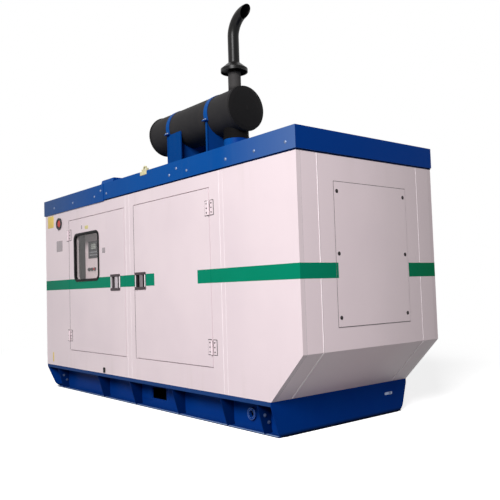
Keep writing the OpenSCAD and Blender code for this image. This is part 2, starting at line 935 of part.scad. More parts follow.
// one blade points up from the hub and is turned to its pitch
module fan_blade() {
    blade_w = 95;
    blade_t = 6;
    blade_pitch_deg = 35;
    rotate([0, 0, blade_pitch_deg]) translate([-blade_t / 2, -blade_w / 2, 0])
        cube([blade_t, blade_w, fan_r]);
}

module engine_fan() {
    blades = 7;
    fan_x = radiator_x - 42;
    translate([fan_x, 0, fan_z]) for (i = [0 : blades - 1]) rotate([i * 360 / blades, 0, 0])
        fan_blade();
    translate([engine_right - eps, 0, fan_z]) rotate([0, 90, 0]) {
        cylinder(fan_x - engine_right + 24, r = 55);
        cylinder(42, r = 105);
    }
}

module engine() {
    cleaner_r = 110;
    cleaner_l = 430;
    cleaner_y = 270;
    filter_r = 45;
    starter_r = 52;
    sump_drop = 330;
    sump_half_w = 130;
    skirt_drop = 170;
    skirt_half_w = 150;
    shoulder_drop = 120;
    shoulder_rise = 60;
    head_low = 120;
    head_high = 320;
    head_half_w = 170;
    head_top_half_w = 110;
    cover_inset = 60;
    cover_half_w = 95;
    cover_rise = 75;
    cover_edge = 45;
    filter_from_left = 440;
    filter_pitch = 130;
    filter_drop = 110;
    filter_l = 151;
    cover_end = pipe_x - stub_r - cover_inset;
    half_block = [
        [sump_half_w, -sump_drop], [skirt_half_w, -skirt_drop], [block_half_w, -shoulder_drop],
        [block_half_w, shoulder_rise], [head_half_w, head_low], [head_half_w, head_high],
        [head_top_half_w, block_rise]];
    color([0.25, 0.27, 0.28]) {
        // block, sump and cylinder head
        translate([0, 0, shaft_z]) across(engine_left, engine_l) polygon(concat(
            half_block, [for (i = [len(half_block) - 1 : -1 : 0]) [-half_block[i].x, half_block[i].y]]));
        // rocker cover
        translate([0, 0, block_top]) across(engine_left + cover_inset, cover_end - engine_left - cover_inset)
            polygon([
                [-cover_half_w, -eps], [cover_half_w, -eps], [cover_half_w, cover_edge],
                [cover_inset, cover_rise], [-cover_inset, cover_rise], [-cover_half_w, cover_edge]]);
        // flange of the exhaust pipe
        translate([pipe_x, 0, block_top - eps]) cylinder(manifold_z - block_top + eps, r = stub_r + 25);
        for (x = [engine_left + 120, engine_right - 200])
            machine_feet(x, 80, block_half_w - 15, shaft_z - 60);
        // flywheel housing
        translate([engine_left - housing_t, 0, shaft_z]) rotate([0, 90, 0])
            cylinder(housing_t + eps, r = 290);
        // air cleaner along the rear side
        translate([engine_left + 250, cleaner_y, shaft_z + 300]) rotate([0, 90, 0])
            cylinder(cleaner_l, r = cleaner_r);
        // oil and fuel filters hang from a block on the front side
        translate([engine_left + filter_from_left, -block_half_w, shaft_z - filter_drop]) {
            box_between([-60, -2 * filter_r - 5, filter_l - 1], [filter_pitch + 70, 20, filter_l + 17]);
            for (x = [0, filter_pitch]) translate([x, -filter_r - 2, 0]) cylinder(filter_l, r = filter_r);
        }
        // starter motor beside the flywheel housing
        translate([engine_left, -195, shaft_z - 190]) rotate([0, 90, 0]) cylinder(230, r = starter_r);
        engine_fan();
    }
}

module alternator() {
    bell_l = 70;
    terminal_l = 400;
    terminal_w = 380;
    terminal_h = 145;
    terminal_right = alternator_right - 120;
    left = alternator_right - alternator_l;
    color([0.16, 0.30, 0.52]) {
        translate([left, 0, shaft_z]) rotate([0, 90, 0]) cylinder(alternator_l, r = alternator_r);
        translate([left - bell_l, 0, shaft_z]) rotate([0, 90, 0])
            cylinder(bell_l + eps, r = alternator_r * 0.82);
        machine_feet(left + 120, alternator_l - 320, alternator_r * 0.55, shaft_z - 120);
        // terminal box
        box_between([terminal_right - terminal_l, -terminal_w / 2, shaft_z + alternator_r * 0.7],
            [terminal_right, terminal_w / 2, shaft_z + alternator_r + terminal_h]);
    }
}

module radiator() {
    low = base_h + skid_h;
    rim_w = 80;
    tank_h = 150;
    core_deep = 25;
    shroud_r = fan_r + 30;
    color([0.12, 0.12, 0.13]) difference() {
        union() {
            box_between([radiator_x, -radiator_w / 2, low],
                [radiator_x + radiator_t, radiator_w / 2, low + radiator_h]);
            translate([radiator_x - shroud_l, 0, fan_z]) rotate([0, 90, 0])
                cylinder(shroud_l + eps, r = shroud_r + 12);
            // filler neck
            translate([radiator_x + radiator_t / 2, 0, low + radiator_h - eps]) cylinder(45, r = 32);
        }
        translate([radiator_x - shroud_l - eps, 0, fan_z]) rotate([0, 90, 0])
            cylinder(shroud_l + 40, r = shroud_r);
        // the core lies back from the frame round it
        box_between([radiator_x + radiator_t - core_deep, -radiator_w / 2 + rim_w, low + rim_w],
            [radiator_x + radiator_t + eps, radiator_w / 2 - rim_w, low + radiator_h - tank_h]);
    }
}

base_front_rail();
base_rear_rail();
base_ribs();
base_left_end();
base_right_end();
base_cross_members();
base_deck();
front_wall_left();
front_wall_post();
front_wall_right();
front_wall_header();
front_wall_sill();
door_frames();
rear_wall();
rear_doors();
rear_latches();
fixed_hinges();
left_end_wall();
intake_louvre();
right_end_wall();
right_end_cover();
right_end_slope();
roof_left();
roof_middle();
roof_right();
roof_joint_cap();
lifting_lugs();
silencer();
silencer_saddles();
silencer_straps();
exhaust_riser();
rain_collar();
tail_pipe();
control_door();
window_gasket();
window_glass();
control_latch();
service_door();
service_latch();
control_cabinet();
control_face();
inner_skid();
engine();
alternator();
radiator();
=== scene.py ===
import math

import bmesh
import bpy
import numpy as np
from mathutils import Matrix, Vector


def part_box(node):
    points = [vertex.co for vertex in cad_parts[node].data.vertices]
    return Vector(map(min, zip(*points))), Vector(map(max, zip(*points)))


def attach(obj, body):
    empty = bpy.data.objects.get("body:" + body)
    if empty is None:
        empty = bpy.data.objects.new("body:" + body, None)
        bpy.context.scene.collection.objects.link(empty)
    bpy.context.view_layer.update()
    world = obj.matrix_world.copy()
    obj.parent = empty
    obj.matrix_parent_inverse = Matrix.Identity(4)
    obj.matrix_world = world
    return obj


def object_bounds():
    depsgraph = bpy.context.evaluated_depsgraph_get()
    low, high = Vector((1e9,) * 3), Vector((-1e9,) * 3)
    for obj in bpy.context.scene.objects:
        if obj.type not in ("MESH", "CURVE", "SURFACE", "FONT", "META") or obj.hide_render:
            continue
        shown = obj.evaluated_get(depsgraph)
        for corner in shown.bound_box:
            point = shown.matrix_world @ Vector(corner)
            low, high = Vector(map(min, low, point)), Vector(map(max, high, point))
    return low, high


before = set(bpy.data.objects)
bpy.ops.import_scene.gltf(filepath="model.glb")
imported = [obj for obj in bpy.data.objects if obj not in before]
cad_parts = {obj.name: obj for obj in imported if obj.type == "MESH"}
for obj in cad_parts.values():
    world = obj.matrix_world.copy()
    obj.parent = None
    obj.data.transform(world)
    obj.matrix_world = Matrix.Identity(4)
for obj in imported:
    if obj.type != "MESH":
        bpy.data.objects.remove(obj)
cad_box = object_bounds()

# ---- Where it stands, and the light on it ----
# The set stands on a plain pale floor. The camera is at standing height off the radiator end, and
# looks along the side with the doors. One broad soft lamp lights that side, and the room fills in.

scene = bpy.context.scene
scene.view_settings.view_transform = "Standard"

CAMERA_AT = Vector((5.2332, -3.7229, 1.0479))
CAMERA_TURN, CAMERA_TILT, CAMERA_ROLL = np.radians([50.55, -3.41, -1.82])
CAMERA_LENS = 46.72
LAMP_AT = Vector((7.2, -10.0, 7.4))
LAMP_AIM = Vector((0, 0, 1.3))
LAMP_SIZE = 4.5
LAMP_POWER = 1700.0
ROOM_LIGHT = 0.11
FLOOR_R, FLOOR_SIDES = 60, 64
FLOOR_FADE = (3.2, 7.5)
FLOOR_LIFT = 0.76
FLOOR_BOUNCE = "#8C8C8C"
SHADE_RIGHT, SHADE_LEFT, SHADE_SIDE = 0.02, 0.25, 0.10


def linear(code):
    """sRGB hex turned to linear light: below 0.04045 it is divided by 12.92, above it the power is 2.4."""
    value = np.array([int(code[i:i + 2], 16) for i in (1, 3, 5)]) / 255
    out = np.where(value <= 0.04045, value / 12.92, ((value + 0.055) / 1.055) ** 2.4)
    return (*out.tolist(), 1.0)


def add(tree, kind, values={}, links={}, **settings):
    """Adds one shader node, sets its settings and input values, and links its inputs."""
    made = tree.nodes.new("ShaderNode" + kind)
    for name, value in settings.items():
        setattr(made, name, value)
    for name, value in values.items():
        made.inputs[name].default_value = value
    for name, socket in links.items():
        tree.links.new(socket, made.inputs[name])
    return made


def new_material(name):
    """An empty material, its node tree and its output node."""
    material = bpy.data.materials.new(name)
    material.use_nodes = True
    material.node_tree.nodes.clear()
    return material, material.node_tree, add(material.node_tree, "OutputMaterial")


def clear_rays(tree):
    """1 for rays that should see the plain backdrop: from the camera, off gloss and through glass."""
    rays = add(tree, "LightPath")
    seen = add(tree, "Math", links={0: rays.outputs["Is Camera Ray"], 1: rays.outputs["Is Glossy Ray"]},
               operation="MAXIMUM")
    return add(tree, "Math", links={0: seen.outputs[0], 1: rays.outputs["Is Transmission Ray"]},
               operation="MAXIMUM")


# the camera looks against back, and rolls its level and upward axes into side and top
back = Vector((math.sin(CAMERA_TURN) * math.cos(CAMERA_TILT),
               -math.cos(CAMERA_TURN) * math.cos(CAMERA_TILT), math.sin(CAMERA_TILT)))
level = (-back).cross(Vector((0, 0, 1))).normalized()
upward = level.cross(-back)
side = math.cos(CAMERA_ROLL) * level + math.sin(CAMERA_ROLL) * upward
top = -math.sin(CAMERA_ROLL) * level + math.cos(CAMERA_ROLL) * upward
camera = bpy.data.objects.new("camera", bpy.data.cameras.new("camera"))
scene.collection.objects.link(camera)
camera.matrix_world = Matrix.Translation(CAMERA_AT) @ Matrix((side, top, back)).transposed().to_4x4()
camera.data.lens = CAMERA_LENS
camera.data.clip_end = 200
scene.camera = camera

lamp = bpy.data.objects.new("soft_lamp", bpy.data.lights.new("soft_lamp", "AREA"))
scene.collection.objects.link(lamp)
lamp.data.energy = LAMP_POWER
lamp.data.size = LAMP_SIZE
lamp.location = LAMP_AT
lamp.rotation_euler = (LAMP_AIM - LAMP_AT).to_track_quat("-Z", "Y").to_euler()

world = bpy.data.worlds.new("room")
scene.world = world
world.use_nodes = True
world.node_tree.nodes.clear()
glow = add(world.node_tree, "MapRange", values={"To Min": ROOM_LIGHT, "To Max": 1.0},
           links={"Value": clear_rays(world.node_tree).outputs[0]})
room = add(world.node_tree, "Background", values={"Color": (1, 1, 1, 1)}, links={"Strength": glow.outputs[0]})
add(world.node_tree, "OutputWorld", links={"Surface": room.outputs[0]})

# the floor is a large disc that turns to the backdrop's white away from the set
floor_mesh = bpy.data.meshes.new("floor")
spokes = np.linspace(0, 2 * np.pi, FLOOR_SIDES, endpoint=False)
rim = np.stack([FLOOR_R * np.cos(spokes), FLOOR_R * np.sin(spokes), 0 * spokes], -1)
floor_mesh.from_pydata(rim.tolist(), [], [list(range(FLOOR_SIDES))])
floor = bpy.data.objects.new("floor", floor_mesh)
scene.collection.objects.link(floor)
painted, tree, out = new_material("pale_floor_paint")
where = add(tree, "TexCoord")
mottle = add(tree, "TexNoise", values={"Scale": 0.8, "Detail": 3.0},
             links={"Vector": where.outputs["Object"]})
tone = add(tree, "MixRGB", values={1: linear("#F4F4F5"), 2: linear("#FAFAFA")}, links={0: mottle.outputs[0]})
shown = add(tree, "MixRGB", values={1: linear(FLOOR_BOUNCE)},
            links={0: clear_rays(tree).outputs[0], 2: tone.outputs[0]})
matt = add(tree, "BsdfDiffuse", links={"Color": shown.outputs[0]})
# the open floor is lifted towards the backdrop's white, and the floor under the set stays in shade
spot = add(tree, "SeparateXYZ", links={0: where.outputs["Object"]})
across = add(tree, "Math", links={0: spot.outputs["Y"]}, operation="ABSOLUTE")
past_right = add(tree, "Math", values={1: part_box("base_right_end")[1].x - SHADE_RIGHT},
                 links={0: spot.outputs["X"]},
                 operation="GREATER_THAN")
past_left = add(tree, "Math", values={1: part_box("base_left_end")[0].x + SHADE_LEFT},
                links={0: spot.outputs["X"]},
                operation="LESS_THAN")
past_side = add(tree, "Math", values={1: cad_box[1].y - SHADE_SIDE}, links={0: across.outputs[0]},
                operation="GREATER_THAN")
past_end = add(tree, "Math", links={0: past_right.outputs[0], 1: past_left.outputs[0]}, operation="MAXIMUM")
outside = add(tree, "Math", links={0: past_end.outputs[0], 1: past_side.outputs[0]}, operation="MAXIMUM")
open_floor = add(tree, "Math", links={0: outside.outputs[0], 1: clear_rays(tree).outputs[0]},
                 operation="MULTIPLY")
lift = add(tree, "Math", values={1: FLOOR_LIFT}, links={0: open_floor.outputs[0]}, operation="MULTIPLY")
raised = add(tree, "Emission", links={"Strength": lift.outputs[0]})
lit = add(tree, "AddShader", links={0: matt.outputs[0], 1: raised.outputs[0]})
reach = add(tree, "VectorMath", links={0: where.outputs["Object"]}, operation="LENGTH")
far = add(tree, "MapRange", values={"From Min": FLOOR_FADE[0], "From Max": FLOOR_FADE[1]},
          links={"Value": reach.outputs["Value"]}, interpolation_type="SMOOTHSTEP")
away = add(tree, "Math", links={0: far.outputs[0], 1: clear_rays(tree).outputs[0]}, operation="MULTIPLY")
white = add(tree, "Emission", values={"Strength": 1.0})
blend = add(tree, "MixShader", links={0: away.outputs[0], 1: lit.outputs[0], 2: white.outputs[0]})
tree.links.new(blend.outputs[0], out.inputs["Surface"])
floor_mesh.materials.append(painted)

# ---- Skid base ----
# Two rails are welded from plate: an upright web, a top flange with a lip, and a foot flange, with
# ribs in the recess. End plates and cross members join them. It is spray-painted dark blue over mill
# scale, so the paint lies thin on the plate's edges and dust settles on its ledges.

BASE_BLUE = "#003080"
BASE_WORN = "#04408F"
BASE_DUST = "#1F4480"
BASE_COAT = {"specular": 0.012, "wear": 0.4, "grime": 0.06}
LIP_DUST, RAIL_FOOT_DARK, BASE_FOOT_DARK = (0.222, 0.226), (0.0058, 0.0050), (0.034, 0.010)


def dress(names, material):
    """Puts a material on CAD nodes."""
    for name in names:
        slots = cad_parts[name].data.materials
        slots.clear()
        slots.append(material)


def join(parts):
    """Puts parts, each a pair of points and faces, into one part by shifting the face numbers."""
    points, faces, count = [], [], 0
    for more, links in parts:
        points.append(np.asarray(more, float).reshape(-1, 3))
        faces += [[n + count for n in face] for face in links]
        count += len(points[-1])
    return np.concatenate(points), faces


def copies(part, places):
    """The part once at each place: the places are added to all its points at once."""
    points, faces = np.asarray(part[0], float), part[1]
    places = np.asarray(places, float).reshape(-1, 3)
    moved = (places[:, None, :] + points[None]).reshape(-1, 3)
    shifted = [[n + i * len(points) for n in face] for i in range(len(places)) for face in faces]
    return moved, shifted


def loft(rings, wrap=True, caps=True):
    """Skins neighbouring rings: point j of ring i is joined to point j + 1 and to the next ring.
    With caps, one face closes each end."""
    rings = np.asarray(rings, float)
    count, width = rings.shape[:2]
    i, j = np.meshgrid(np.arange(count - 1), np.arange(width if wrap else width - 1), indexing="ij")
    a, b = i * width + j, i * width + (j + 1) % width
    faces = np.stack([a, b, b + width, a + width], -1).reshape(-1, 4).tolist()
    if caps:
        faces += [list(range(width))[::-1], list(range((count - 1) * width, count * width))]
    return rings.reshape(-1, 3), faces


def lathe(profile, n=24):
    """Turns a profile of (radius, height) points about Z: each radius is carried round a full circle."""
    radius, height = np.asarray(profile, float).T
    turn = np.linspace(0, 2 * np.pi, n, endpoint=False)
    rings = np.stack([radius[:, None] * np.cos(turn), radius[:, None] * np.sin(turn),
                      np.broadcast_to(height[:, None], (len(radius), n))], -1)
    return loft(rings, caps=False)


FACINGS = {"front": ((1, 0, 0), (0, 0, 1), (0, -1, 0)), "back": ((-1, 0, 0), (0, 0, 1), (0, 1, 0)),
           "right": ((0, 1, 0), (0, 0, 1), (1, 0, 0)), "left": ((0, -1, 0), (0, 0, 1), (-1, 0, 0)),
           "up": ((1, 0, 0), (0, 1, 0), (0, 0, 1)), "down": ((1, 0, 0), (0, -1, 0), (0, 0, -1))}


def faced(part, facing, at=(0, 0, 0)):
    """Turns a part drawn with Z outwards so that it faces one side of the set, and moves it there."""
    return np.asarray(part[0], float) @ np.array(FACINGS[facing], float) + np.array(at, float), part[1]


def make(name, part, body, material, sharp=35):
    """One finished piece: merges doubles, turns faces outwards, shades it, and gives it to its body."""
    mesh = bpy.data.meshes.new(name)
    mesh.from_pydata(np.asarray(part[0], float).tolist(), [], part[1])
    work = bmesh.new()
    work.from_mesh(mesh)
    bmesh.ops.remove_doubles(work, verts=work.verts, dist=1e-6)
    bmesh.ops.recalc_face_normals(work, faces=work.faces)
    work.to_mesh(mesh)
    work.free()
    mesh.shade_smooth()
    mesh.set_sharp_from_angle(angle=math.radians(sharp))
    mesh.materials.append(material)
    made = bpy.data.objects.new(name, mesh)
    scene.collection.objects.link(made)
    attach(made, body)
    return made


def hex_bolt(across):
    """Hexagon bolt on a washer, Z outwards: rings of washer, flats and a chamfered head."""
    wide, thick = across * 0.95, across * 0.16
    washer = lathe([(0, 0), (wide, 0), (wide, thick), (0, thick)], 16)
    turn = np.radians(np.arange(6) * 60)
    flat = np.stack([np.cos(turn), np.sin(turn)], -1) * across / math.sqrt(3)
    rings = [np.column_stack([flat * size, np.full(6, across * z)])
             for size, z in ((1, 0.16), (1, 0.62), (0.86, 0.74))]
    return join([washer, loft(rings)])


def blown_paint(name, colour, worn, dust, rough=0.36, dust_top=None, sag=0.0012, specular=0.5,
                wear=0.55, grime=0.30):
    """Sprayed enamel on steel plate. The tone drifts over about half a metre, fine specks break it at
    10 mm, faint vertical run marks follow Z, and dust lies heavier below dust_top metres."""
    material, tree, out = new_material(name)
    where = add(tree, "TexCoord")
    drift = add(tree, "TexNoise", values={"Scale": 2.2, "Detail": 4.0, "Roughness": 0.55},
                links={"Vector": where.outputs["Object"]})
    specks = add(tree, "TexNoise", values={"Scale": 95.0, "Detail": 2.0},
                 links={"Vector": where.outputs["Object"]})
    runs = add(tree, "Mapping", values={"Scale": (14.0, 14.0, 1.1)},
               links={"Vector": where.outputs["Object"]})
    streaks = add(tree, "TexNoise", values={"Scale": 1.0, "Detail": 5.0, "Roughness": 0.6},
                  links={"Vector": runs.outputs[0]})
    soft = add(tree, "MapRange", values={"From Min": 0.35, "From Max": 0.75, "To Max": wear},
               links={"Value": drift.outputs[0]})
    tone = add(tree, "MixRGB", values={1: linear(colour), 2: linear(worn)}, links={0: soft.outputs[0]})
    thin = add(tree, "MapRange", values={"From Min": 0.62, "From Max": 0.78, "To Max": wear * 0.6},
               links={"Value": specks.outputs[0]})
    speckled = add(tree, "MixRGB", values={2: linear(worn)}, links={0: thin.outputs[0], 1: tone.outputs[0]})
    trail = add(tree, "MapRange", values={"From Min": 0.52, "From Max": 0.8, "To Max": grime},
                links={"Value": streaks.outputs[0]})
    cover = trail
    if dust_top is not None:
        height = add(tree, "SeparateXYZ", links={0: where.outputs["Object"]})
        low = add(tree, "MapRange", values={"From Min": dust_top, "From Max": 0.0, "To Max": 0.5},
                  links={"Value": height.outputs["Z"]}, interpolation_type="SMOOTHSTEP")
        ragged = add(tree, "Math", links={0: low.outputs[0], 1: drift.outputs[0]}, operation="MULTIPLY")
        cover = add(tree, "Math", links={0: ragged.outputs[0], 1: trail.outputs[0]}, operation="MAXIMUM")
    dusty = add(tree, "MixRGB", values={2: linear(dust)}, links={0: cover.outputs[0], 1: speckled.outputs[0]})
    gloss = add(tree, "MapRange", values={"To Min": rough - 0.05, "To Max": rough + 0.16},
                links={"Value": drift.outputs[0]})
    waves = add(tree, "TexNoise", values={"Scale": 3.2, "Detail": 1.0},
                links={"Vector": where.outputs["Object"]})
    relief = add(tree, "Math", values={1: 0.03}, links={0: specks.outputs[0]}, operation="MULTIPLY")
    both = add(tree, "Math", links={0: waves.outputs[0], 1: relief.outputs[0]}, operation="ADD")
    bump = add(tree, "Bump", values={"Strength": 0.35, "Distance": sag}, links={"Height": both.outputs[0]})
    skin = add(tree, "BsdfPrincipled", values={"Specular IOR Level": specular},
               links={"Base Color": dusty.outputs[0], "Roughness": gloss.outputs[0],
                      "Normal": bump.outputs[0]})
    tree.links.new(skin.outputs[0], out.inputs["Surface"])
    return material


def tint(material, output, axis, start, stop, colour):
    """Mixes another colour into a material where one axis of a coordinate runs from start to stop."""
    tree = material.node_tree
    skin = tree.nodes["Principled BSDF"]
    spot = add(tree, "SeparateXYZ", links={0: add(tree, "TexCoord").outputs[output]})
    share = add(tree, "MapRange", values={"From Min": start, "From Max": stop},
                links={"Value": spot.outputs[axis]})
    mixed = add(tree, "MixRGB", values={2: linear(colour)},
                links={0: share.outputs[0], 1: skin.inputs["Base Color"].links[0].from_socket})
    tree.links.new(mixed.outputs[0], skin.inputs["Base Color"])


base_enamel = blown_paint("dark_blue_sprayed_enamel", BASE_BLUE, BASE_WORN, BASE_DUST,
                          rough=0.34, dust_top=0.05, **BASE_COAT)
dress(["base_left_end", "base_right_end", "base_cross_members", "base_deck", "inner_skid"], base_enamel)
# the rails' lips are greyed by the dust that washes down the walls
rail_enamel = blown_paint("dusty_dark_blue_enamel", "#053583", BASE_WORN, BASE_DUST,
                          rough=0.34, dust_top=0.05, **BASE_COAT)
tint(rail_enamel, "Object", "Z", *LIP_DUST, "#24457F")
# the lowest edge of the rails and of the base is painted darker all round
tint(rail_enamel, "Object", "Z", *RAIL_FOOT_DARK, "#08193C")
tint(base_enamel, "Object", "Z", *BASE_FOOT_DARK, "#010A22")
dress(["base_front_rail", "base_rear_rail"], rail_enamel)
# the ribs are given a darker blue as painted shade: they stand in the recess and face away from the lamp
rib_shade_enamel = blown_paint("dark_blue_enamel_with_painted_shade", "#001F58", "#032A66", "#142F5C", rough=0.45, **BASE_COAT)
dress(["base_ribs"], rib_shade_enamel)


def plated(name, colour, shade, rough):
    """Zinc-plated steel: bright, with a cloudy bloom a few centimetres across and fine grain."""
    material, tree, out = new_material(name)
    where = add(tree, "TexCoord")
    bloom = add(tree, "TexNoise", values={"Scale": 40.0, "Detail": 3.0},
                links={"Vector": where.outputs["Object"]})
    tone = add(tree, "MixRGB", values={1: linear(colour), 2: linear(shade)}, links={0: bloom.outputs[0]})
    gloss = add(tree, "MapRange", values={"To Min": rough, "To Max": rough + 0.2},
                links={"Value": bloom.outputs[0]})
    bump = add(tree, "Bump", values={"Strength": 0.2, "Distance": 0.0004}, links={"Height": bloom.outputs[0]})
    skin = add(tree, "BsdfPrincipled", values={"Metallic": 0.85},
               links={"Base Color": tone.outputs[0], "Roughness": gloss.outputs[0],
                      "Normal": bump.outputs[0]})
    tree.links.new(skin.outputs[0], out.inputs["Surface"])
    return material


zinc = plated("zinc_plated_bolts", "#D9DBDF", "#8E9299", 0.3)
dull_zinc = plated("weathered_zinc_bolts", "#8F9DB8", "#52607F", 0.4)
grimy_zinc = plated("grimy_zinc_bolts", "#66759A", "#3F4C6C", 0.5)
# two bolts to a rib, given by their distance from the middle of the set and their height
RIB_BOLT, RIB_T = 0.015, 0.008
RIB_BOLT_SPOTS = ((0.676, 0.140), (0.640, 0.086))
rib_low, rib_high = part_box("base_ribs")
rib_spots = [(x, s * y, z) for x in (rib_low.x + RIB_T, rib_high.x)
             for s in (-1, 1) for y, z in RIB_BOLT_SPOTS]
make("rib_bolts", copies(faced(hex_bolt(RIB_BOLT), "right"), rib_spots), "set", grimy_zinc)


def bead(start, stop, radius, ripple=0.012, n=7):
    """Weld bead from start to stop: a tube whose radius swells and sinks once each ripple."""
    start, stop = np.array(start, float), np.array(stop, float)
    length = np.linalg.norm(stop - start)
    along = np.linspace(0, 1, max(int(length / ripple * 4), 8))
    turn = np.linspace(0, 2 * np.pi, n, endpoint=False)
    run = (stop - start) / length
    first = np.cross(run, (0.31, 0.57, 0.76))
    first /= np.linalg.norm(first)
    second = np.cross(run, first)
    swell = radius * (1 + 0.18 * np.sin(along * length / ripple * 2 * np.pi))
    swell[[0, -1]] *= 0.4
    ring = np.cos(turn)[:, None] * first + np.sin(turn)[:, None] * second
    return loft(start + along[:, None, None] * (stop - start) + swell[:, None, None] * ring[None])


def levels(node, axis):
    """The distinct places of a CAD node's corners along one axis, in order."""
    spots = np.array([v.co[axis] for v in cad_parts[node].data.vertices])
    return np.unique(np.round(spots, 4))


# a bead runs up each face of a rib where it meets the web, sunk a little into it
WEB_T, WELD_R, WELD_SINK = 0.006, 0.0045, 0.001
WELD_FOOT, WELD_HEAD = 0.012, 0.240
web_face = WEB_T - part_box("base_front_rail")[1].y
weld_y = web_face - WELD_SINK
rib_beads = [bead((x, s * weld_y, WELD_FOOT), (x, s * weld_y, WELD_HEAD), WELD_R)
             for x in levels("base_ribs", 0) for s in (-1, 1)]
make("rib_welds", join(rib_beads), "set", base_enamel)


def slab(width, height, depth, corner=0.0, edge=0.0015, n=5):
    """Rounded plate, Z outwards: rings of a rounded rectangle rise to the depth less the edge, then
    step in along a quarter circle of that edge."""
    corner = max(corner, edge * 1.01)
    turn = np.linspace(0, np.pi / 2, n)
    starts = np.repeat(np.arange(4) * np.pi / 2, n)
    angle = np.tile(turn, 4) + starts
    sx = np.where((angle % (2 * np.pi) > np.pi / 2 + 1e-9) & (starts > 0) & (starts < 3 * np.pi / 2), -1, 1)
    quarter = np.repeat([[1, 1], [-1, 1], [-1, -1], [1, -1]], n, axis=0)
    rings = []
    for inset, z in [(0, 0), (0, depth - edge)] + [
            (edge * (1 - math.cos(a)), depth - edge + edge * math.sin(a)) for a in (0.52, 1.05, 1.571)]:
        round_off = corner - inset
        centre = quarter * (np.array([width, height]) / 2 - corner)
        rim = centre + round_off * np.stack([np.cos(angle), np.sin(angle)], -1)
        rings.append(np.column_stack([rim, np.full(len(rim), z)]))
    return loft(rings)


def tube(path, radius, n=10, ref=(0, 0, 1), closed=False):
    """Round tube along a path: each ring lies square to the path's run, set out from a fixed direction
    that the path never follows."""
    path = np.asarray(path, float)
    run = np.roll(path, -1, 0) - np.roll(path, 1, 0) if closed else np.gradient(path, axis=0)
    run /= np.linalg.norm(run, axis=1)[:, None]
    first = np.cross(run, ref)
    first /= np.linalg.norm(first, axis=1)[:, None]
    second = np.cross(first, run)
    turn = np.linspace(0, 2 * np.pi, n, endpoint=False)
    rings = path[:, None] + radius * (np.cos(turn)[None, :, None] * first[:, None]
                                      + np.sin(turn)[None, :, None] * second[:, None])
    if closed:
        return loft(np.concatenate([rings, rings[:1]]), caps=False)
    return loft(rings)


def hoop(axis, centre, radius, thick, n=72):
    """Round wire bent into a ring about a line along one axis: centre plus radius times the cosine and
    the sine of the angle on the other two axes."""
    turn = np.linspace(0, 2 * np.pi, n, endpoint=False)
    path = np.tile(np.array(centre, float), (n, 1))
    path[:, [i for i in range(3) if i != axis]] += radius * np.stack([np.cos(turn), np.sin(turn)], -1)
    return tube(path, thick, 6, ref=np.eye(3)[axis], closed=True)


# a pale strip along the foot flange's edge is a painted highlight; it stops short of both ends
FOOT_UNDER, HIGHLIGHT_SHORT, HIGHLIGHT_WIDE, HIGHLIGHT_IN = 0.010, 0.02, 0.022, 0.0115
foot = np.array([v.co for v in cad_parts["base_front_rail"].data.vertices])
foot = foot[foot[:, 2] < FOOT_UNDER]
foot_y, foot_top = -foot[:, 1].min(), foot[:, 2].max()
foot_ends = (foot[:, 0].min() + HIGHLIGHT_SHORT, foot[:, 0].max() - HIGHLIGHT_SHORT)
edge_highlight = slab(foot_ends[1] - foot_ends[0], HIGHLIGHT_WIDE, 0.0004, 0.0006, 0.0002, n=2)
foot_mid = sum(foot_ends) / 2
foot_highlights = join([faced(edge_highlight, "up", (foot_mid, s * (foot_y - HIGHLIGHT_IN), foot_top)) for s in (-1, 1)])
make("foot_edge_painted_highlight", foot_highlights, "set",
     blown_paint("pale_blue_painted_highlight", "#8CA9D6", "#B3C6E4", "#8E9DB5", rough=0.4, specular=0.1))
# hooks have worn the drag eyes bright on their outer and inner rims
EYE_X, EYE_Z, EYE_RIM, EYE_HOLE, EYE_L = 1.430, 0.116, 0.044, 0.028, 0.022
RIM_WEAR = 0.0015
eye_y = web_face + EYE_L - 0.0005
eye_rings = [hoop(1, (EYE_X, s * eye_y, EYE_Z), r, RIM_WEAR, n=48)
             for s in (-1, 1) for r in (EYE_RIM - 0.001, EYE_HOLE + RIM_WEAR)]
make("drag_eye_wear", join(eye_rings), "set", plated("rubbed_steel", "#7289B2", "#4A6292", 0.5))

# ---- Engine, alternator and radiator ----
# The engine is a grey painted casting, the alternator a blue painted barrel with cast fins, and the
# radiator a black pressed frame round a finned core. They are bolted to the inner skid and show only
# with the doors open.

engine_paint = blown_paint("grey_enamel_on_cast_iron", "#5B6064", "#6E7072", "#5A5148", rough=0.5, sag=0.003)
alternator_paint = blown_paint("mid_blue_enamel_on_castings", "#2C5596", "#446AA5", "#51565E", rough=0.42,
                               sag=0.002)
radiator_paint = blown_paint("black_stoved_paint", "#1B1B1D", "#2B2B2C", "#4C4842", rough=0.45)
dress(["engine"], engine_paint)
dress(["alternator"], alternator_paint)
dress(["radiator"], radiator_paint)


def spun(part, centre, angles):
    """The part once at each angle about a line along X through centre."""
    points = np.asarray(part[0], float) - centre
    cos, sin = np.cos(angles)[:, None], np.sin(angles)[:, None]
    turned = np.stack([np.broadcast_to(points[None, :, 0], (len(angles), len(points))),
                       points[None, :, 1] * cos - points[None, :, 2] * sin,
                       points[None, :, 1] * sin + points[None, :, 2] * cos], -1) + centre
    faces = [[n + i * len(points) for n in face] for i in range(len(angles)) for face in part[1]]
    return turned.reshape(-1, 3), faces


SHAFT = np.array([0, 0, 0.817])
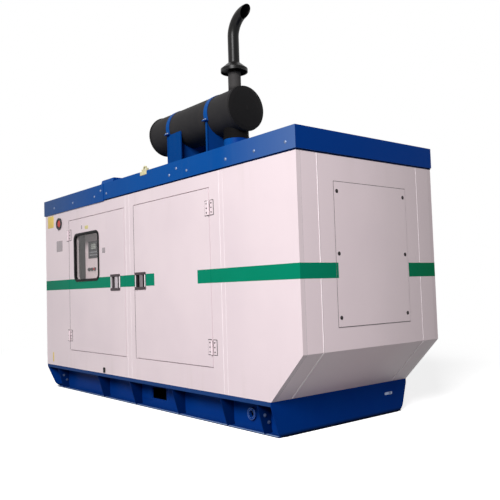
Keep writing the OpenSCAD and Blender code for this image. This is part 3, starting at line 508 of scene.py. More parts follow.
# cast fins stand along both sides of the barrel, every seven degrees, clear of its top and its feet
FIN_SIZE, FIN_IN, FIN_R, FIN_STEP = (0.46, 0.0055, 0.017), 0.40, 0.283, 7.0
alt_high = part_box("alternator")[1]
fin = faced(slab(*FIN_SIZE, edge=0.001, n=2), "up", (alt_high.x - FIN_IN, 0, SHAFT[2] + FIN_R))
fin_angles = np.concatenate([np.arange(48, 133, FIN_STEP), np.arange(-132, -47, FIN_STEP)])
fins = spun(fin, SHAFT, np.radians(fin_angles))
make("alternator_fins", fins, "set", alternator_paint)
LID_SIZE, LID_IN, LID_SCREW, LID_SCREWS_X, LID_SCREWS_Y = (0.372, 0.352, 0.012), 0.32, 0.010, 0.165, 0.155
lid_x = alt_high.x - LID_IN
lid = faced(slab(*LID_SIZE, 0.012, 0.003), "up", (lid_x, 0, alt_high.z))
lid_spots = [(lid_x + sx * LID_SCREWS_X, sy * LID_SCREWS_Y, alt_high.z + LID_SIZE[2])
             for sx in (-1, 0, 1) for sy in (-1, 1)]
lid_screws = copies(faced(hex_bolt(LID_SCREW), "up"), lid_spots)
make("terminal_box_lid", lid, "set", alternator_paint)
make("terminal_box_screws", lid_screws, "set", zinc)
HOUSING_X, HOUSING_R, HOUSING_BOLT, HOUSING_BOLTS = -0.25, 0.262, 0.017, 14
flange_bolt = faced(hex_bolt(HOUSING_BOLT), "right", (HOUSING_X, 0, SHAFT[2] + HOUSING_R))
flange_bolts = spun(flange_bolt, SHAFT, np.radians(np.arange(HOUSING_BOLTS) * 360 / HOUSING_BOLTS + 12))
make("flywheel_housing_bolts", flange_bolts, "set", zinc)
ROCKER_X, ROCKER_RISE, ROCKER_CAPS = (-0.12, 0.33), 0.475, 5
oil_cap = lathe([(0, 0), (0.024, 0), (0.026, 0.006), (0.022, 0.022), (0.01, 0.028), (0, 0.028)], 18)
cap_spots = [(x, 0, SHAFT[2] + ROCKER_RISE) for x in np.linspace(*ROCKER_X, ROCKER_CAPS)]
make("rocker_cover_caps", copies(oil_cap, cap_spots), "set", engine_paint)
PUMP_Y, PUMP_Z, PIPE_BOW, PIPE_WEAVE, PIPE_RISE, PIPE_R = -0.218, 0.05, 0.055, 0.014, 0.30, 0.0045


def fuel_line(x):
    """Injection pipe from the pump at the block's side up to the head: it rises evenly, bows outwards by
    a power of a sine, and weaves along the engine by another sine."""
    t = np.linspace(0, 1, 26)
    weave = x + PIPE_WEAVE * np.sin(2.2 * np.pi * t)
    bow = PUMP_Y - PIPE_BOW * np.sin(np.pi * t) ** 0.8 + PIPE_BOW * t
    return tube(np.stack([weave, bow, SHAFT[2] + PUMP_Z + PIPE_RISE * t], -1), PIPE_R, 8, ref=(1, 0, 0))


make("injection_pipes", join([fuel_line(x) for x in np.linspace(0.47, 0.75, 6)]), "set",
     dull_zinc)


def fin_sheet(width, height, pitch, tubes, n_across, n_up):
    """Radiator core, Z outwards: folded fins rise and fall across the width once each pitch, and flat
    water tubes stand out between them once each tube spacing."""
    u = np.linspace(-width / 2, width / 2, n_across)
    v = np.linspace(-height / 2, height / 2, n_up)
    fold = 0.004 * (2 * np.abs((u / pitch) % 1 - 0.5))
    water = 0.005 * (np.abs((v / tubes) % 1 - 0.5) < 0.15)
    z = np.maximum(fold[:, None], water[None, :])
    grid = np.stack([np.broadcast_to(u[:, None], z.shape), np.broadcast_to(v[None], z.shape), z], -1)
    return loft(grid, wrap=False, caps=False)


core_metal = plated("dull_aluminium_fins", "#6A6C6E", "#3A3B3C", 0.45)
CORE_W, CORE_H, CORE_IN, CORE_Z = 0.938, 0.888, 0.0245, 0.862
FIN_PITCH, TUBE_PITCH = 0.016, 0.030
rad_low, rad_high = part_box("radiator")
core = fin_sheet(CORE_W, CORE_H, FIN_PITCH, TUBE_PITCH, 235, 178)
core_at = (rad_high.x - CORE_IN, 0, CORE_Z)
make("radiator_core", faced(core, "right", core_at), "set", core_metal)
# wire rings on eight spokes guard the fan
FAN_Z, GUARD_OUT, GUARD_WIRE, SPOKE_WIRE = 0.877, 0.004, 0.003, 0.004
guard_x = rad_low.x - GUARD_OUT
guard = [hoop(0, (guard_x, 0, FAN_Z), r, GUARD_WIRE) for r in np.linspace(0.10, 0.385, 9)]
spoke = tube([(guard_x, 0, FAN_Z + r) for r in (0.06, 0.25, 0.388)], SPOKE_WIRE, 6, ref=(1, 0, 0))
guard.append(spun(spoke, np.array([0, 0, FAN_Z]), np.radians(np.arange(8) * 45 + 22.5)))
make("fan_guard", join(guard), "set", radiator_paint)

# ---- Control cabinet ----
# The cabinet is folded sheet in light grey textured powder coat, on two posts. Its front carries a
# dark moulded controller with a screen and keys, and a row of push buttons, behind the window.

cabinet_coat = blown_paint("light_grey_textured_powder_coat", "#F6E9EC", "#EADDE0", "#CFC8C6", rough=0.5)
dress(["control_cabinet"], cabinet_coat)


def rubber(name, colour, worn, rough=0.62, specular=0.3):
    """Moulded rubber or plastic: dull, with a paler bloom in patches 10 cm across and a fine matt grain
    a few millimetres apart, which is drawn coarser than the real one so that it shows."""
    material, tree, out = new_material(name)
    where = add(tree, "TexCoord")
    bloom = add(tree, "TexNoise", values={"Scale": 9.0, "Detail": 4.0},
                links={"Vector": where.outputs["Object"]})
    fine = add(tree, "TexNoise", values={"Scale": 260.0, "Detail": 2.0},
               links={"Vector": where.outputs["Object"]})
    soft = add(tree, "MapRange", values={"From Min": 0.4, "From Max": 0.75},
               links={"Value": bloom.outputs[0]})
    tone = add(tree, "MixRGB", values={1: linear(colour), 2: linear(worn)}, links={0: soft.outputs[0]})
    gloss = add(tree, "MapRange", values={"To Min": rough, "To Max": rough + 0.2},
                links={"Value": bloom.outputs[0]})
    bump = add(tree, "Bump", values={"Strength": 0.3, "Distance": 0.0006}, links={"Height": fine.outputs[0]})
    skin = add(tree, "BsdfPrincipled", values={"Specular IOR Level": specular},
               links={"Base Color": tone.outputs[0], "Roughness": gloss.outputs[0],
                      "Normal": bump.outputs[0]})
    tree.links.new(skin.outputs[0], out.inputs["Surface"])
    return material


case_plastic = rubber("dark_grey_moulded_plastic", "#2B2D31", "#3A3C40", rough=0.42)
dress(["control_face"], case_plastic)
box_low, box_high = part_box("control_cabinet")
face_low, face_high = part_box("control_face")
CABINET_DOOR, CABINET_DOOR_Z = (0.525, 0.585, 0.0035), 1.445
CONTROLLER_HALF, BUTTON_R, BUTTON_PITCH = 0.120, 0.018, 0.066
SCREEN_SIZE, SCREEN_DROP, PANEL_SUNK = (0.105, 0.062, 0.002), 0.055, 0.006
panel_x = face_high.x - CONTROLLER_HALF
buttons_x = face_low.x + BUTTON_PITCH + BUTTON_R
cabinet_at = ((box_low.x + box_high.x) / 2, face_high.y, CABINET_DOOR_Z)
make("cabinet_front", faced(slab(*CABINET_DOOR, 0.008, 0.001), "front", cabinet_at), "set",
     cabinet_coat)


def lit_screen(name, colour, shade):
    """Controller screen: pale grey-green liquid crystal in even rows of dots 9 mm apart, under a
    clear cover."""
    material, tree, out = new_material(name)
    where = add(tree, "TexCoord")
    rows = add(tree, "TexWave", values={"Scale": 17.0, "Distortion": 0.0},
               links={"Vector": where.outputs["Object"]},
               bands_direction="Z")
    line = add(tree, "MapRange", values={"From Min": 0.55, "From Max": 0.7, "To Max": 0.7},
               links={"Value": rows.outputs["Fac"]})
    tone = add(tree, "MixRGB", values={1: linear(colour), 2: linear(shade)}, links={0: line.outputs[0]})
    skin = add(tree, "BsdfPrincipled", values={"Roughness": 0.12, "Coat Weight": 0.6},
               links={"Base Color": tone.outputs[0]})
    tree.links.new(skin.outputs[0], out.inputs["Surface"])
    return material


panel_y = face_low.y + PANEL_SUNK
screen = faced(slab(*SCREEN_SIZE, 0.004, 0.0008), "front", (panel_x, panel_y, face_high.z - SCREEN_DROP))
make("controller_screen", screen, "set",
     lit_screen("grey_liquid_crystal", "#C3CCC3", "#3E4740"))
key = lathe([(0, 0), (0.0075, 0), (0.0075, 0.003), (0.006, 0.0045), (0, 0.005)], 16)
KEY_PITCH, KEY_DROP = 0.03, 0.118
key_spots = [(panel_x + (i - 2.5) * KEY_PITCH, panel_y, face_high.z - KEY_DROP - row * KEY_PITCH)
             for i in range(6) for row in (0, 1)]
make("controller_keys", copies(faced(key, "front"), key_spots), "set",
     rubber("pale_grey_silicone_keys", "#9A9DA2", "#85878C", rough=0.5))
cap = lathe([(0, 0), (0.0135, 0), (0.0135, 0.006), (0.0125, 0.0085), (0.006, 0.0095), (0, 0.0095)], 24)
button_z = face_low.z + BUTTON_R
for name, step, colour, worn in (("button_cap_red", 1, "#B32025", "#8E1D20"),
                                 ("button_cap_dark", 0, "#26282B", "#333539"),
                                 ("button_cap_green", -1, "#3C3F44", "#2E3034")):
    cap_at = (buttons_x + BUTTON_PITCH * step, face_low.y, button_z)
    make(name, faced(cap, "front", cap_at), "set",
         rubber(name.replace("button_cap", "moulded") + "_button", colour, worn, rough=0.3))

# ---- Canopy walls ----
# The canopy is folded from galvanised sheet in flat panels, powder-coated a warm white on the outside
# and lined with dark sound-damping foam inside. Folded seams run up the radiator end.

CANOPY_WHITE = "#F8E6EB"
CANOPY_SHADE = "#F1DFE5"
CANOPY_DUST = "#CDBDB6"
FOAM_DARK = "#3B3C40"
FOAM_LIGHT = "#55565A"


def lined_panel(name, axis, face):
    """Powder coat outside and foam inside. Between the two lining faces, at plus and minus face along
    the axis, the surface is foam. The coat has dust near the sill and drip marks under the roof, and
    the sheet is slightly wavy over half a metre."""
    material, tree, out = new_material(name)
    where = add(tree, "TexCoord")
    axes = add(tree, "SeparateXYZ", links={0: where.outputs["Object"]})
    drift = add(tree, "TexNoise", values={"Scale": 1.3, "Detail": 3.0},
                links={"Vector": where.outputs["Object"]})
    specks = add(tree, "TexNoise", values={"Scale": 160.0, "Detail": 1.0},
                 links={"Vector": where.outputs["Object"]})
    thin = add(tree, "Mapping", values={"Scale": (9.0, 9.0, 0.7)}, links={"Vector": where.outputs["Object"]})
    streaks = add(tree, "TexNoise", values={"Scale": 1.0, "Detail": 5.0, "Roughness": 0.6},
                  links={"Vector": thin.outputs[0]})
    soft = add(tree, "MapRange", values={"From Min": 0.38, "From Max": 0.7},
               links={"Value": drift.outputs[0]})
    tone = add(tree, "MixRGB", values={1: linear(CANOPY_WHITE), 2: linear(CANOPY_SHADE)},
               links={0: soft.outputs[0]})
    low = add(tree, "MapRange", values={"From Min": 0.62, "From Max": 0.24, "To Max": 0.22},
              links={"Value": axes.outputs["Z"]}, interpolation_type="SMOOTHSTEP")
    high = add(tree, "MapRange", values={"From Min": 1.55, "From Max": 1.98, "To Max": 0.20},
               links={"Value": axes.outputs["Z"]}, interpolation_type="SMOOTHSTEP")
    drips = add(tree, "MapRange", values={"From Min": 0.54, "From Max": 0.82},
                links={"Value": streaks.outputs[0]})
    ends = add(tree, "Math", links={0: low.outputs[0], 1: high.outputs[0]}, operation="MAXIMUM")
    marks = add(tree, "Math", links={0: ends.outputs[0], 1: drips.outputs[0]}, operation="MULTIPLY")
    film = add(tree, "Math", links={0: low.outputs[0], 1: drift.outputs[0]}, operation="MULTIPLY")
    film = add(tree, "Math", values={1: 0.35}, links={0: film.outputs[0]}, operation="MULTIPLY")
    dirt = add(tree, "Math", links={0: marks.outputs[0], 1: film.outputs[0]}, operation="ADD")
    coat = add(tree, "MixRGB", values={2: linear(CANOPY_DUST)},
               links={0: dirt.outputs[0], 1: tone.outputs[0]})
    cells = add(tree, "TexVoronoi", values={"Scale": 70.0}, links={"Vector": where.outputs["Object"]})
    foam = add(tree, "MixRGB", values={1: linear(FOAM_LIGHT), 2: linear(FOAM_DARK)},
               links={0: cells.outputs["Distance"]})
    inside = add(tree, "Math", links={0: axes.outputs[axis]}, operation="ABSOLUTE")
    inside = add(tree, "Math", values={1: face + 0.0006}, links={0: inside.outputs[0]}, operation="LESS_THAN")
    colour = add(tree, "MixRGB", links={0: inside.outputs[0], 1: coat.outputs[0], 2: foam.outputs[0]})
    gloss = add(tree, "MapRange", values={"To Min": 0.30, "To Max": 0.92}, links={"Value": inside.outputs[0]})
    waves = add(tree, "TexNoise", values={"Scale": 2.6, "Detail": 0.5},
                links={"Vector": where.outputs["Object"]})
    grain = add(tree, "Math", values={1: 0.012}, links={0: specks.outputs[0]}, operation="MULTIPLY")
    pits = add(tree, "Math", links={0: cells.outputs["Distance"], 1: inside.outputs[0]}, operation="MULTIPLY")
    relief = add(tree, "Math", links={0: waves.outputs[0], 1: grain.outputs[0]}, operation="ADD")
    relief = add(tree, "Math", links={0: relief.outputs[0], 1: pits.outputs[0]}, operation="ADD")
    bump = add(tree, "Bump", values={"Strength": 0.5, "Distance": 0.003}, links={"Height": relief.outputs[0]})
    skin = add(tree, "BsdfPrincipled", values={"Specular IOR Level": 0.25},
               links={"Base Color": colour.outputs[0], "Roughness": gloss.outputs[0],
                      "Normal": bump.outputs[0]})
    tree.links.new(skin.outputs[0], out.inputs["Surface"])
    return material


WALL_T = 0.040
half_length, half_width, wall_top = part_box("rear_wall")[1]
side_panel = lined_panel("white_powder_coat_side_panel", "Y", half_width - WALL_T)
end_panel = lined_panel("white_powder_coat_end_panel", "X", half_length - WALL_T)
plain_coat = lined_panel("white_powder_coat", "Z", 0.0)
slope_coat = lined_panel("white_powder_coat_with_painted_shade", "Z", 0.0)
# the slope's downward faces are painted darker as painted shade, and the ends are painted darker towards the
# far side and lighter towards the near side, as painted light
tint(slope_coat, "Normal", "Z", -0.3, -0.65, "#E4C6CE")
for coat in (end_panel, slope_coat):
    tint(coat, "Object", "Y", -0.1, half_width + 0.2, "#DCCCD0")
    tint(coat, "Object", "Y", 0.2, -half_width, "#FFECF2")
rear_panel = lined_panel("white_powder_coat_rear_panel", "Y", half_width - WALL_T)
# the rear wall's faces turned to the radiator end are painted darker as painted shade
tint(rear_panel, "Normal", "X", 0.5, 0.9, "#DCCCD0")
dress(["front_wall_left", "front_wall_post", "front_wall_right", "front_wall_header", "front_wall_sill"],
      side_panel)
dress(["rear_wall"], rear_panel)
dress(["left_end_wall", "right_end_wall"], end_panel)
dress(["right_end_cover", "right_end_slope", "intake_louvre"], slope_coat)
dress(["fixed_hinges"], plain_coat)

# cap screws hold the cover plate on the radiator end, six to a plate
cover_low, cover_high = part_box("right_end_cover")


def pan_screw(radius):
    """Pan head screw with a cross recess shown as a shallow dish, Z outwards."""
    return lathe([(0, 0), (radius, 0), (radius, radius * 0.25), (radius * 0.8, radius * 0.45),
                  (radius * 0.35, radius * 0.52), (radius * 0.3, radius * 0.3), (0, radius * 0.28)], 14)


SCREW_RISE, SCREW_Y, SCREW_ZS = 0.0012, 0.370, (0.826, 1.273, 1.713)
screw_spots = [(cover_high.x, sy * SCREW_Y, z) for sy in (-1, 1) for z in SCREW_ZS]
washer = lathe([(0, 0), (0.0145, 0), (0.0145, 0.0008), (0.013, SCREW_RISE), (0, SCREW_RISE)], 20)
black_steel = plated("black_oxide_steel", "#4A4144", "#262123", 0.4)
make("cover_washers", copies(faced(washer, "right"), screw_spots), "set",
     rubber("black_neoprene_washer", "#1C181A", "#2C2729", rough=0.7))
cover_screw = faced(pan_screw(0.0070), "right", (SCREW_RISE, 0, 0))
make("cover_screws", copies(cover_screw, screw_spots), "set", black_steel)

# the plate beds on a black foam strip that shows as a thin dark line, mostly above and below it; the line
# also paints the shade in the gap round the plate
COVER_STRIP, SIDE_STRIP = 0.0035, 0.0006
cover_mid = [(cover_low[i] + cover_high[i]) / 2 for i in range(3)]


def flat_frame(width, height, border, depth):
    """Flat rectangular frame, Z outwards: an inner loop of width by height and an outer loop a border
    further out, joined on both faces."""
    corners = np.array([(1, 1), (-1, 1), (-1, -1), (1, -1)]) / 2
    loops = [np.column_stack([corners * (width + 2 * grow, height + 2 * grow), np.full(4, z)])
             for grow, z in ((0, 0), (0, depth), (border, depth), (border, 0), (0, 0))]
    return loft(np.array(loops), caps=False)


bed_wide = cover_high.y - cover_low.y - 2 * (COVER_STRIP - SIDE_STRIP)
bed_deep = cover_high.x - half_length - 0.0003
bed = flat_frame(bed_wide, cover_high.z - cover_low.z, COVER_STRIP, bed_deep)
bed_at = (half_length, cover_mid[1], cover_mid[2])
make("cover_bedding_and_shade_strip", faced(bed, "right", bed_at), "set",
     rubber("black_foam_and_painted_shade_strip", "#0F0F10", "#1B1B1C", rough=0.8))

# a bead of white sealant fills each folded seam on the two ends, and stops where the stripe crosses it
STRIPE_LOW, STRIPE_HIGH, FILM = 1.102, 1.210, 0.0004
SEAM_Y = 0.555
SEALANT_R, SLOPE_MORE = {-1: 0.0028, 1: 0.0018}, 0.0018
slope_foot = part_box("base_right_end")[1].x
slope_low, slope_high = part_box("right_end_slope")
SILL_TOP, UNDER_ROOF, STRIPE_CLEAR = 0.262, 0.013, 0.002
sealant = []
for s in (-1, 1):
    runs = [((half_length, slope_high.z + 0.004), (half_length, STRIPE_LOW - STRIPE_CLEAR)),
            ((half_length, STRIPE_HIGH + STRIPE_CLEAR), (half_length, wall_top - UNDER_ROOF)),
            ((slope_foot + 0.006, slope_low.z + 0.006), (half_length - 0.002, slope_high.z - 0.002)),
            ((-half_length, SILL_TOP), (-half_length, STRIPE_LOW - STRIPE_CLEAR)),
            ((-half_length, STRIPE_HIGH + STRIPE_CLEAR), (-half_length, wall_top - UNDER_ROOF))]
    sealant += [tube([(x0, s * SEAM_Y, z0), ((x0 + x1) / 2, s * SEAM_Y, (z0 + z1) / 2), (x1, s * SEAM_Y, z1)],
                     SEALANT_R[s] + SLOPE_MORE * (x0 != x1), 8, ref=(0, 1, 0)) for (x0, z0), (x1, z1) in runs]
# it also runs down the long sides' folded seam and the rolled edges of the post between the doors
right_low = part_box("front_wall_right")[0].x
seam_line = [v for v in levels("front_wall_right", 0) if v > right_low + 0.05]
post_low, post_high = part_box("front_wall_post")
seam_x = (seam_line[0] + seam_line[1]) / 2
side_lines = ((seam_x, 0.0024), (seam_x + 0.049, 0.0015), (post_low.x + 0.027, 0.0018),
              (post_low.x + 0.099, 0.0018))
side_runs = ((SILL_TOP, STRIPE_LOW - STRIPE_CLEAR), (STRIPE_HIGH + STRIPE_CLEAR, wall_top - UNDER_ROOF))
for x, r in side_lines:
    for y in (-half_width, half_width):
        sealant += [tube([(x, y, z0), (x, y, (z0 + z1) / 2), (x, y, z1)], r, 8, ref=(1, 0, 0))
                    for z0, z1 in side_runs]
make("seam_sealant", join(sealant), "set",
     rubber("white_seam_sealant", "#FBF1F4", "#EFE4E8", rough=0.5))

# ---- Green stripe ----
# A band of self-adhesive vinyl film runs round the canopy at handle height. It is cut at every panel
# edge and round the latches and the window rubber, and stops short in the middle of each long side.


def vinyl(name, colour, shade):
    """Cast vinyl film: even and slightly glossy, a touch faded in broad patches, with a fine grain."""
    material, tree, out = new_material(name)
    where = add(tree, "TexCoord")
    fade = add(tree, "TexNoise", values={"Scale": 3.0, "Detail": 4.0},
               links={"Vector": where.outputs["Object"]})
    tone = add(tree, "MixRGB", values={1: linear(colour), 2: linear(shade)}, links={0: fade.outputs[0]})
    grain = add(tree, "TexNoise", values={"Scale": 220.0}, links={"Vector": where.outputs["Object"]})
    bump = add(tree, "Bump", values={"Strength": 0.15, "Distance": 0.0004},
               links={"Height": grain.outputs[0]})
    skin = add(tree, "BsdfPrincipled", values={"Roughness": 0.33, "Specular IOR Level": 0.02},
               links={"Base Color": tone.outputs[0], "Normal": bump.outputs[0]})
    tree.links.new(skin.outputs[0], out.inputs["Surface"])
    return material


green_film = vinyl("green_vinyl_film", "#0A9272", "#048766")
# the film is painted darker towards the far side and towards the left end, as painted shade
tint(green_film, "Object", "Y", -0.7, 0.65, "#04764E")
tint(green_film, "Object", "X", -1.2, -2.1, "#068062")
gasket_low, gasket_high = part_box("window_gasket")
GASKET_CORNER = 0.070


def under_window(x):
    """Upper edge of the film at x: the stripe's edge, or the lower outline of the window rubber with
    its round corners where that is lower."""
    edge = gasket_low.z + GASKET_CORNER
    away = np.maximum(np.abs(x - (gasket_low.x + gasket_high.x) / 2)
                      - ((gasket_high.x - gasket_low.x) / 2 - GASKET_CORNER), 0)
    arc = edge - np.sqrt(np.maximum(GASKET_CORNER ** 2 - away ** 2, 0))
    return np.where(away < GASKET_CORNER, np.minimum(STRIPE_HIGH, arc - 0.0005), STRIPE_HIGH)


def film_strip(start, stop, facing, at, upper=None):
    """Strip of film from start to stop along a wall, Z outwards: lower and upper edge on both faces."""
    u = np.linspace(start, stop, 2 if upper is None else 260)
    high = np.full(len(u), STRIPE_HIGH) if upper is None else upper(u)
    low = np.full(len(u), STRIPE_LOW)
    rings = [np.stack([u, v, np.full(len(u), z)], -1)
             for v, z in ((low, 0), (high, 0), (high, FILM), (low, FILM))]
    part = loft(np.stack(rings, 1))
    flip = -1 if facing in ("back", "left") else 1
    points = part[0] * (flip, 1, 1)
    return faced((points, part[1]), facing, at)


latch_low, latch_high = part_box("control_latch")
service_latch_low, service_latch_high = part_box("service_latch")
DOOR_GAP, GASKET_IN = 0.006, 0.128
control_left, control_right = gasket_low.x - GASKET_IN, post_low.x - DOOR_GAP
service_left, service_right = post_high.x + DOOR_GAP, right_low - DOOR_GAP
left_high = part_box("front_wall_left")[1].x
BLANK_FROM, BLANK_TO = 0.284, 0.949
front, rear = (0, -half_width, 0), (0, half_width, 0)
fixed, on_control, on_service = [], [], []
for facing, at in (("front", front), ("back", rear)):
    window = under_window if facing == "front" else None
    doors = (on_control, on_service) if facing == "front" else (fixed, fixed)
    fixed += [film_strip(-half_length, left_high, facing, at),
              film_strip(post_low.x, post_high.x, facing, at),
              film_strip(right_low, half_length, facing, at)]
    doors[0].extend([film_strip(control_left, latch_low.x, facing, at, window),
                     film_strip(latch_high.x, control_right, facing, at)])
    doors[1].extend([film_strip(service_latch_high.x, BLANK_FROM, facing, at),
                     film_strip(BLANK_TO, service_right, facing, at)])
# on the two ends it starts beside the cover plate and beside the louvre
COVER_FROM, COVER_TO, COVER_FAR, LOUVRE_FROM = -0.400, -0.382, 0.412, 0.392
right_end, left_end = (half_length, 0, 0), (-half_length, 0, 0)
fixed += [film_strip(COVER_FROM, -half_width, "right", right_end),
          film_strip(COVER_FAR, half_width, "right", right_end),
          film_strip(COVER_FROM, COVER_TO, "right", (cover_high.x, 0, 0))]
fixed += [film_strip(s * LOUVRE_FROM, s * half_width, "left", left_end) for s in (-1, 1)]
# it is wrapped round the edges that face the radiator end, on the left wall and on both doors
WRAP = 0.030
wrap = slab(WRAP, STRIPE_HIGH - STRIPE_LOW, FILM, 0.0004, 0.0001, n=2)
stripe_mid = (STRIPE_LOW + STRIPE_HIGH) / 2
for s in (-1, 1):
    turned = [faced(wrap, "right", (x, s * (half_width - WRAP / 2), stripe_mid))
              for x in (left_high, control_right, service_right)]
    fixed.append(turned[0])
    if s < 0:
        on_control.append(turned[1])
        on_service.append(turned[2])
    else:
        fixed += turned[1:]
make("stripe_on_walls", join(fixed), "set", green_film)
make("stripe_on_control_door", join(on_control), "control_door", green_film)
make("stripe_on_service_door", join(on_service), "service_door", green_film)

# ---- Doors ----
# Each door is a folded steel tray with a foam pad glued inside it. It hangs on two lift-off hinges
# and closes on a rubber tube pushed onto the frame.

dress(["control_door", "service_door", "rear_doors"], plain_coat)
frame_rubber = rubber("black_sponge_rubber", "#121213", "#232324", rough=0.75)
dress(["door_frames"], frame_rubber)

# a black strip on the frame edge that each door shuts beside paints the shade in the door's gap
GAP_SHADE_T = 0.0005
door_low, door_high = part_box("service_door")
gap_shade_runs = [(left_high, STRIPE_HIGH, door_high.z), (left_high, door_low.z, STRIPE_LOW),
               (post_high.x, door_low.z, door_high.z)]
gap_shade_strips = [faced(slab(WRAP, high - low, GAP_SHADE_T, 0.0005, 0.0001, n=2), "right",
                 (x, s * (half_width - WRAP / 2), (low + high) / 2))
           for x, low, high in gap_shade_runs for s in (-1, 1)]
make("door_gap_shade_strips", join(gap_shade_strips), "set", frame_rubber)


EGG_PITCH, EGG_RISE, EGG_STEPS, EGG_RIM = 0.055, 0.012, 4, 0.03


def foam_pad(width, height, depth):
    """Egg-box foam, Z outwards: the face rises as the product of two cosines once each pitch, fades to
    flat at the rim and drops straight down to the door there."""
    u, v = [np.linspace(-size / 2, size / 2, max(int(size / EGG_PITCH * EGG_STEPS), 8))
            for size in (width, height)]
    humps = [0.5 + 0.5 * np.cos(2 * np.pi * line / EGG_PITCH) for line in (u, v)]
    bulge = humps[0][:, None] * humps[1][None]
    rim = np.minimum(np.minimum(u - u[0], u[-1] - u)[:, None], np.minimum(v - v[0], v[-1] - v)[None])
    z = depth - EGG_RISE + EGG_RISE * bulge * np.clip(rim / EGG_RIM, 0, 1)
    z[[0, -1]] = 0
    z[:, [0, -1]] = 0
    grid = np.stack([np.broadcast_to(u[:, None], z.shape), np.broadcast_to(v[None], z.shape), z], -1)
    return loft(grid, wrap=False, caps=False)


def foam(name, colour, shade):
    """Open-cell sound foam: dark grey, darker in its pores, which are drawn 12 mm apart."""
    material, tree, out = new_material(name)
    where = add(tree, "TexCoord")
    cells = add(tree, "TexVoronoi", values={"Scale": 85.0}, links={"Vector": where.outputs["Object"]})
    dusty = add(tree, "TexNoise", values={"Scale": 4.0, "Detail": 4.0},
                links={"Vector": where.outputs["Object"]})
    tone = add(tree, "MixRGB", values={1: linear(colour), 2: linear(shade)},
               links={0: cells.outputs["Distance"]})
    pale = add(tree, "MapRange", values={"From Min": 0.5, "From Max": 0.8, "To Max": 0.35},
               links={"Value": dusty.outputs[0]})
    worn = add(tree, "MixRGB", values={2: linear("#77736E")}, links={0: pale.outputs[0], 1: tone.outputs[0]})
    bump = add(tree, "Bump", values={"Strength": 0.7, "Distance": 0.003},
               links={"Height": cells.outputs["Distance"]})
    skin = add(tree, "BsdfPrincipled", values={"Roughness": 0.95},
               links={"Base Color": worn.outputs[0], "Normal": bump.outputs[0]})
    tree.links.new(skin.outputs[0], out.inputs["Surface"])
    return material


door_foam = foam("dark_grey_acoustic_foam", FOAM_LIGHT, FOAM_DARK)
# each pad stops short of the door's edges and of the window rubber
PAD, PAD_IN, PAD_CLEAR, PAD_LAP = 0.024, 0.055, 0.03, 0.02
door_back = door_high.y


def door_pad(name, x0, x1, z0, z1, facing, y, body):
    """A foam pad between two places along the door and two heights, on its inner face."""
    at = ((x0 + x1) / 2, y, (z0 + z1) / 2)
    return make(name, faced(foam_pad(x1 - x0, z1 - z0, PAD), facing, at), body, door_foam,
                sharp=60)


pad_low, pad_high = door_low.z + PAD_IN, door_high.z - PAD_IN
control_pad = (control_left + PAD_IN, control_right - PAD_IN)
service_pad = (service_left + PAD_IN, service_right - PAD_IN)
beside_window = (gasket_high.x + PAD_CLEAR, control_pad[1])
door_pad("service_door_foam", *service_pad, pad_low, pad_high, "back", door_back, "service_door")
door_pad("control_door_foam_low", *control_pad, pad_low, gasket_low.z - PAD_CLEAR, "back", door_back,
         "control_door")
door_pad("control_door_foam_side", *beside_window, gasket_low.z - PAD_LAP, pad_high, "back", door_back,
         "control_door")
door_pad("rear_door_foam_left", *control_pad, pad_low, pad_high, "front", -door_back, "set")
door_pad("rear_door_foam_right", *service_pad, pad_low, pad_high, "front", -door_back, "set")


def frame_loop(x0, x1, z0, z1, y, r=0.05, n=8):
    """A loop with round corners through a doorway: four quarter circles joined by straight runs."""
    angle = np.concatenate([np.linspace(k, k + 1, n) * np.pi / 2 for k in range(4)])
    cx = np.repeat([x1 - r, x0 + r, x0 + r, x1 - r], n)
    cz = np.repeat([z1 - r, z1 - r, z0 + r, z0 + r], n)
    return np.stack([cx + r * np.cos(angle), np.full(len(angle), y), cz + r * np.sin(angle)], -1)


SEAL_R, SEAL_IN, SEAL_BACK, SEAL_BEND = 0.0023, 0.010, 0.0025, 0.03
seals = [tube(frame_loop(x0 + SEAL_IN, x1 - SEAL_IN, door_low.z + SEAL_IN, door_high.z - SEAL_IN,
                         s * (door_back + SEAL_BACK), SEAL_BEND), SEAL_R, 8, ref=(0, 1, 0), closed=True)
         for s in (1, -1) for x0, x1 in ((control_left, control_right), (service_left, service_right))]
make("door_seals", join(seals), "set", frame_rubber)

# ---- Window in the control door ----
# A clear safety-glass pane sits in a black H-section rubber that grips the door's cut edge. Behind the
# glass the opening is lined by a folded return of the door, painted white.

window_rubber = rubber("black_window_rubber", "#0D0C0D", "#1B191B", rough=0.5, specular=0.12)
# behind the glass the same solid shows as the door's painted return
glass_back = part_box("window_glass")[1].y
tint(window_rubber, "Object", "Y", glass_back - 0.001, glass_back, "#C9C4C4")
dress(["window_gasket"], window_rubber)


def pane(name, colour):
    """Clear safety glass: light goes straight through with a faint grey tint, and the surface mirrors
    the room by the angle it is seen at, a little smeared by dust."""
    material, tree, out = new_material(name)
    where = add(tree, "TexCoord")
    dust = add(tree, "TexNoise", values={"Scale": 5.0, "Detail": 5.0},
               links={"Vector": where.outputs["Object"]})
    smear = add(tree, "MapRange", values={"From Min": 0.45, "From Max": 0.8, "To Min": 0.0, "To Max": 0.03},
                links={"Value": dust.outputs[0]})
    through = add(tree, "BsdfTransparent", values={"Color": linear(colour)})
    mirror = add(tree, "BsdfGlossy", values={"Roughness": 0.06})
    film = add(tree, "BsdfDiffuse", values={"Color": linear("#C9C9C6")})
    angle = add(tree, "LayerWeight", values={"Blend": 0.5})
    steep = add(tree, "Math", values={1: 4.0}, links={0: angle.outputs["Facing"]}, operation="POWER")
    share = add(tree, "MapRange", values={"To Min": 0.004, "To Max": 0.6}, links={"Value": steep.outputs[0]})
    clear = add(tree, "MixShader", links={0: share.outputs[0], 1: through.outputs[0], 2: mirror.outputs[0]})
    hazy = add(tree, "MixShader", links={0: smear.outputs[0], 1: clear.outputs[0], 2: film.outputs[0]})
    tree.links.new(hazy.outputs[0], out.inputs["Surface"])
    return material


dress(["window_glass"], pane("clear_safety_glass", "#FFFDFD"))
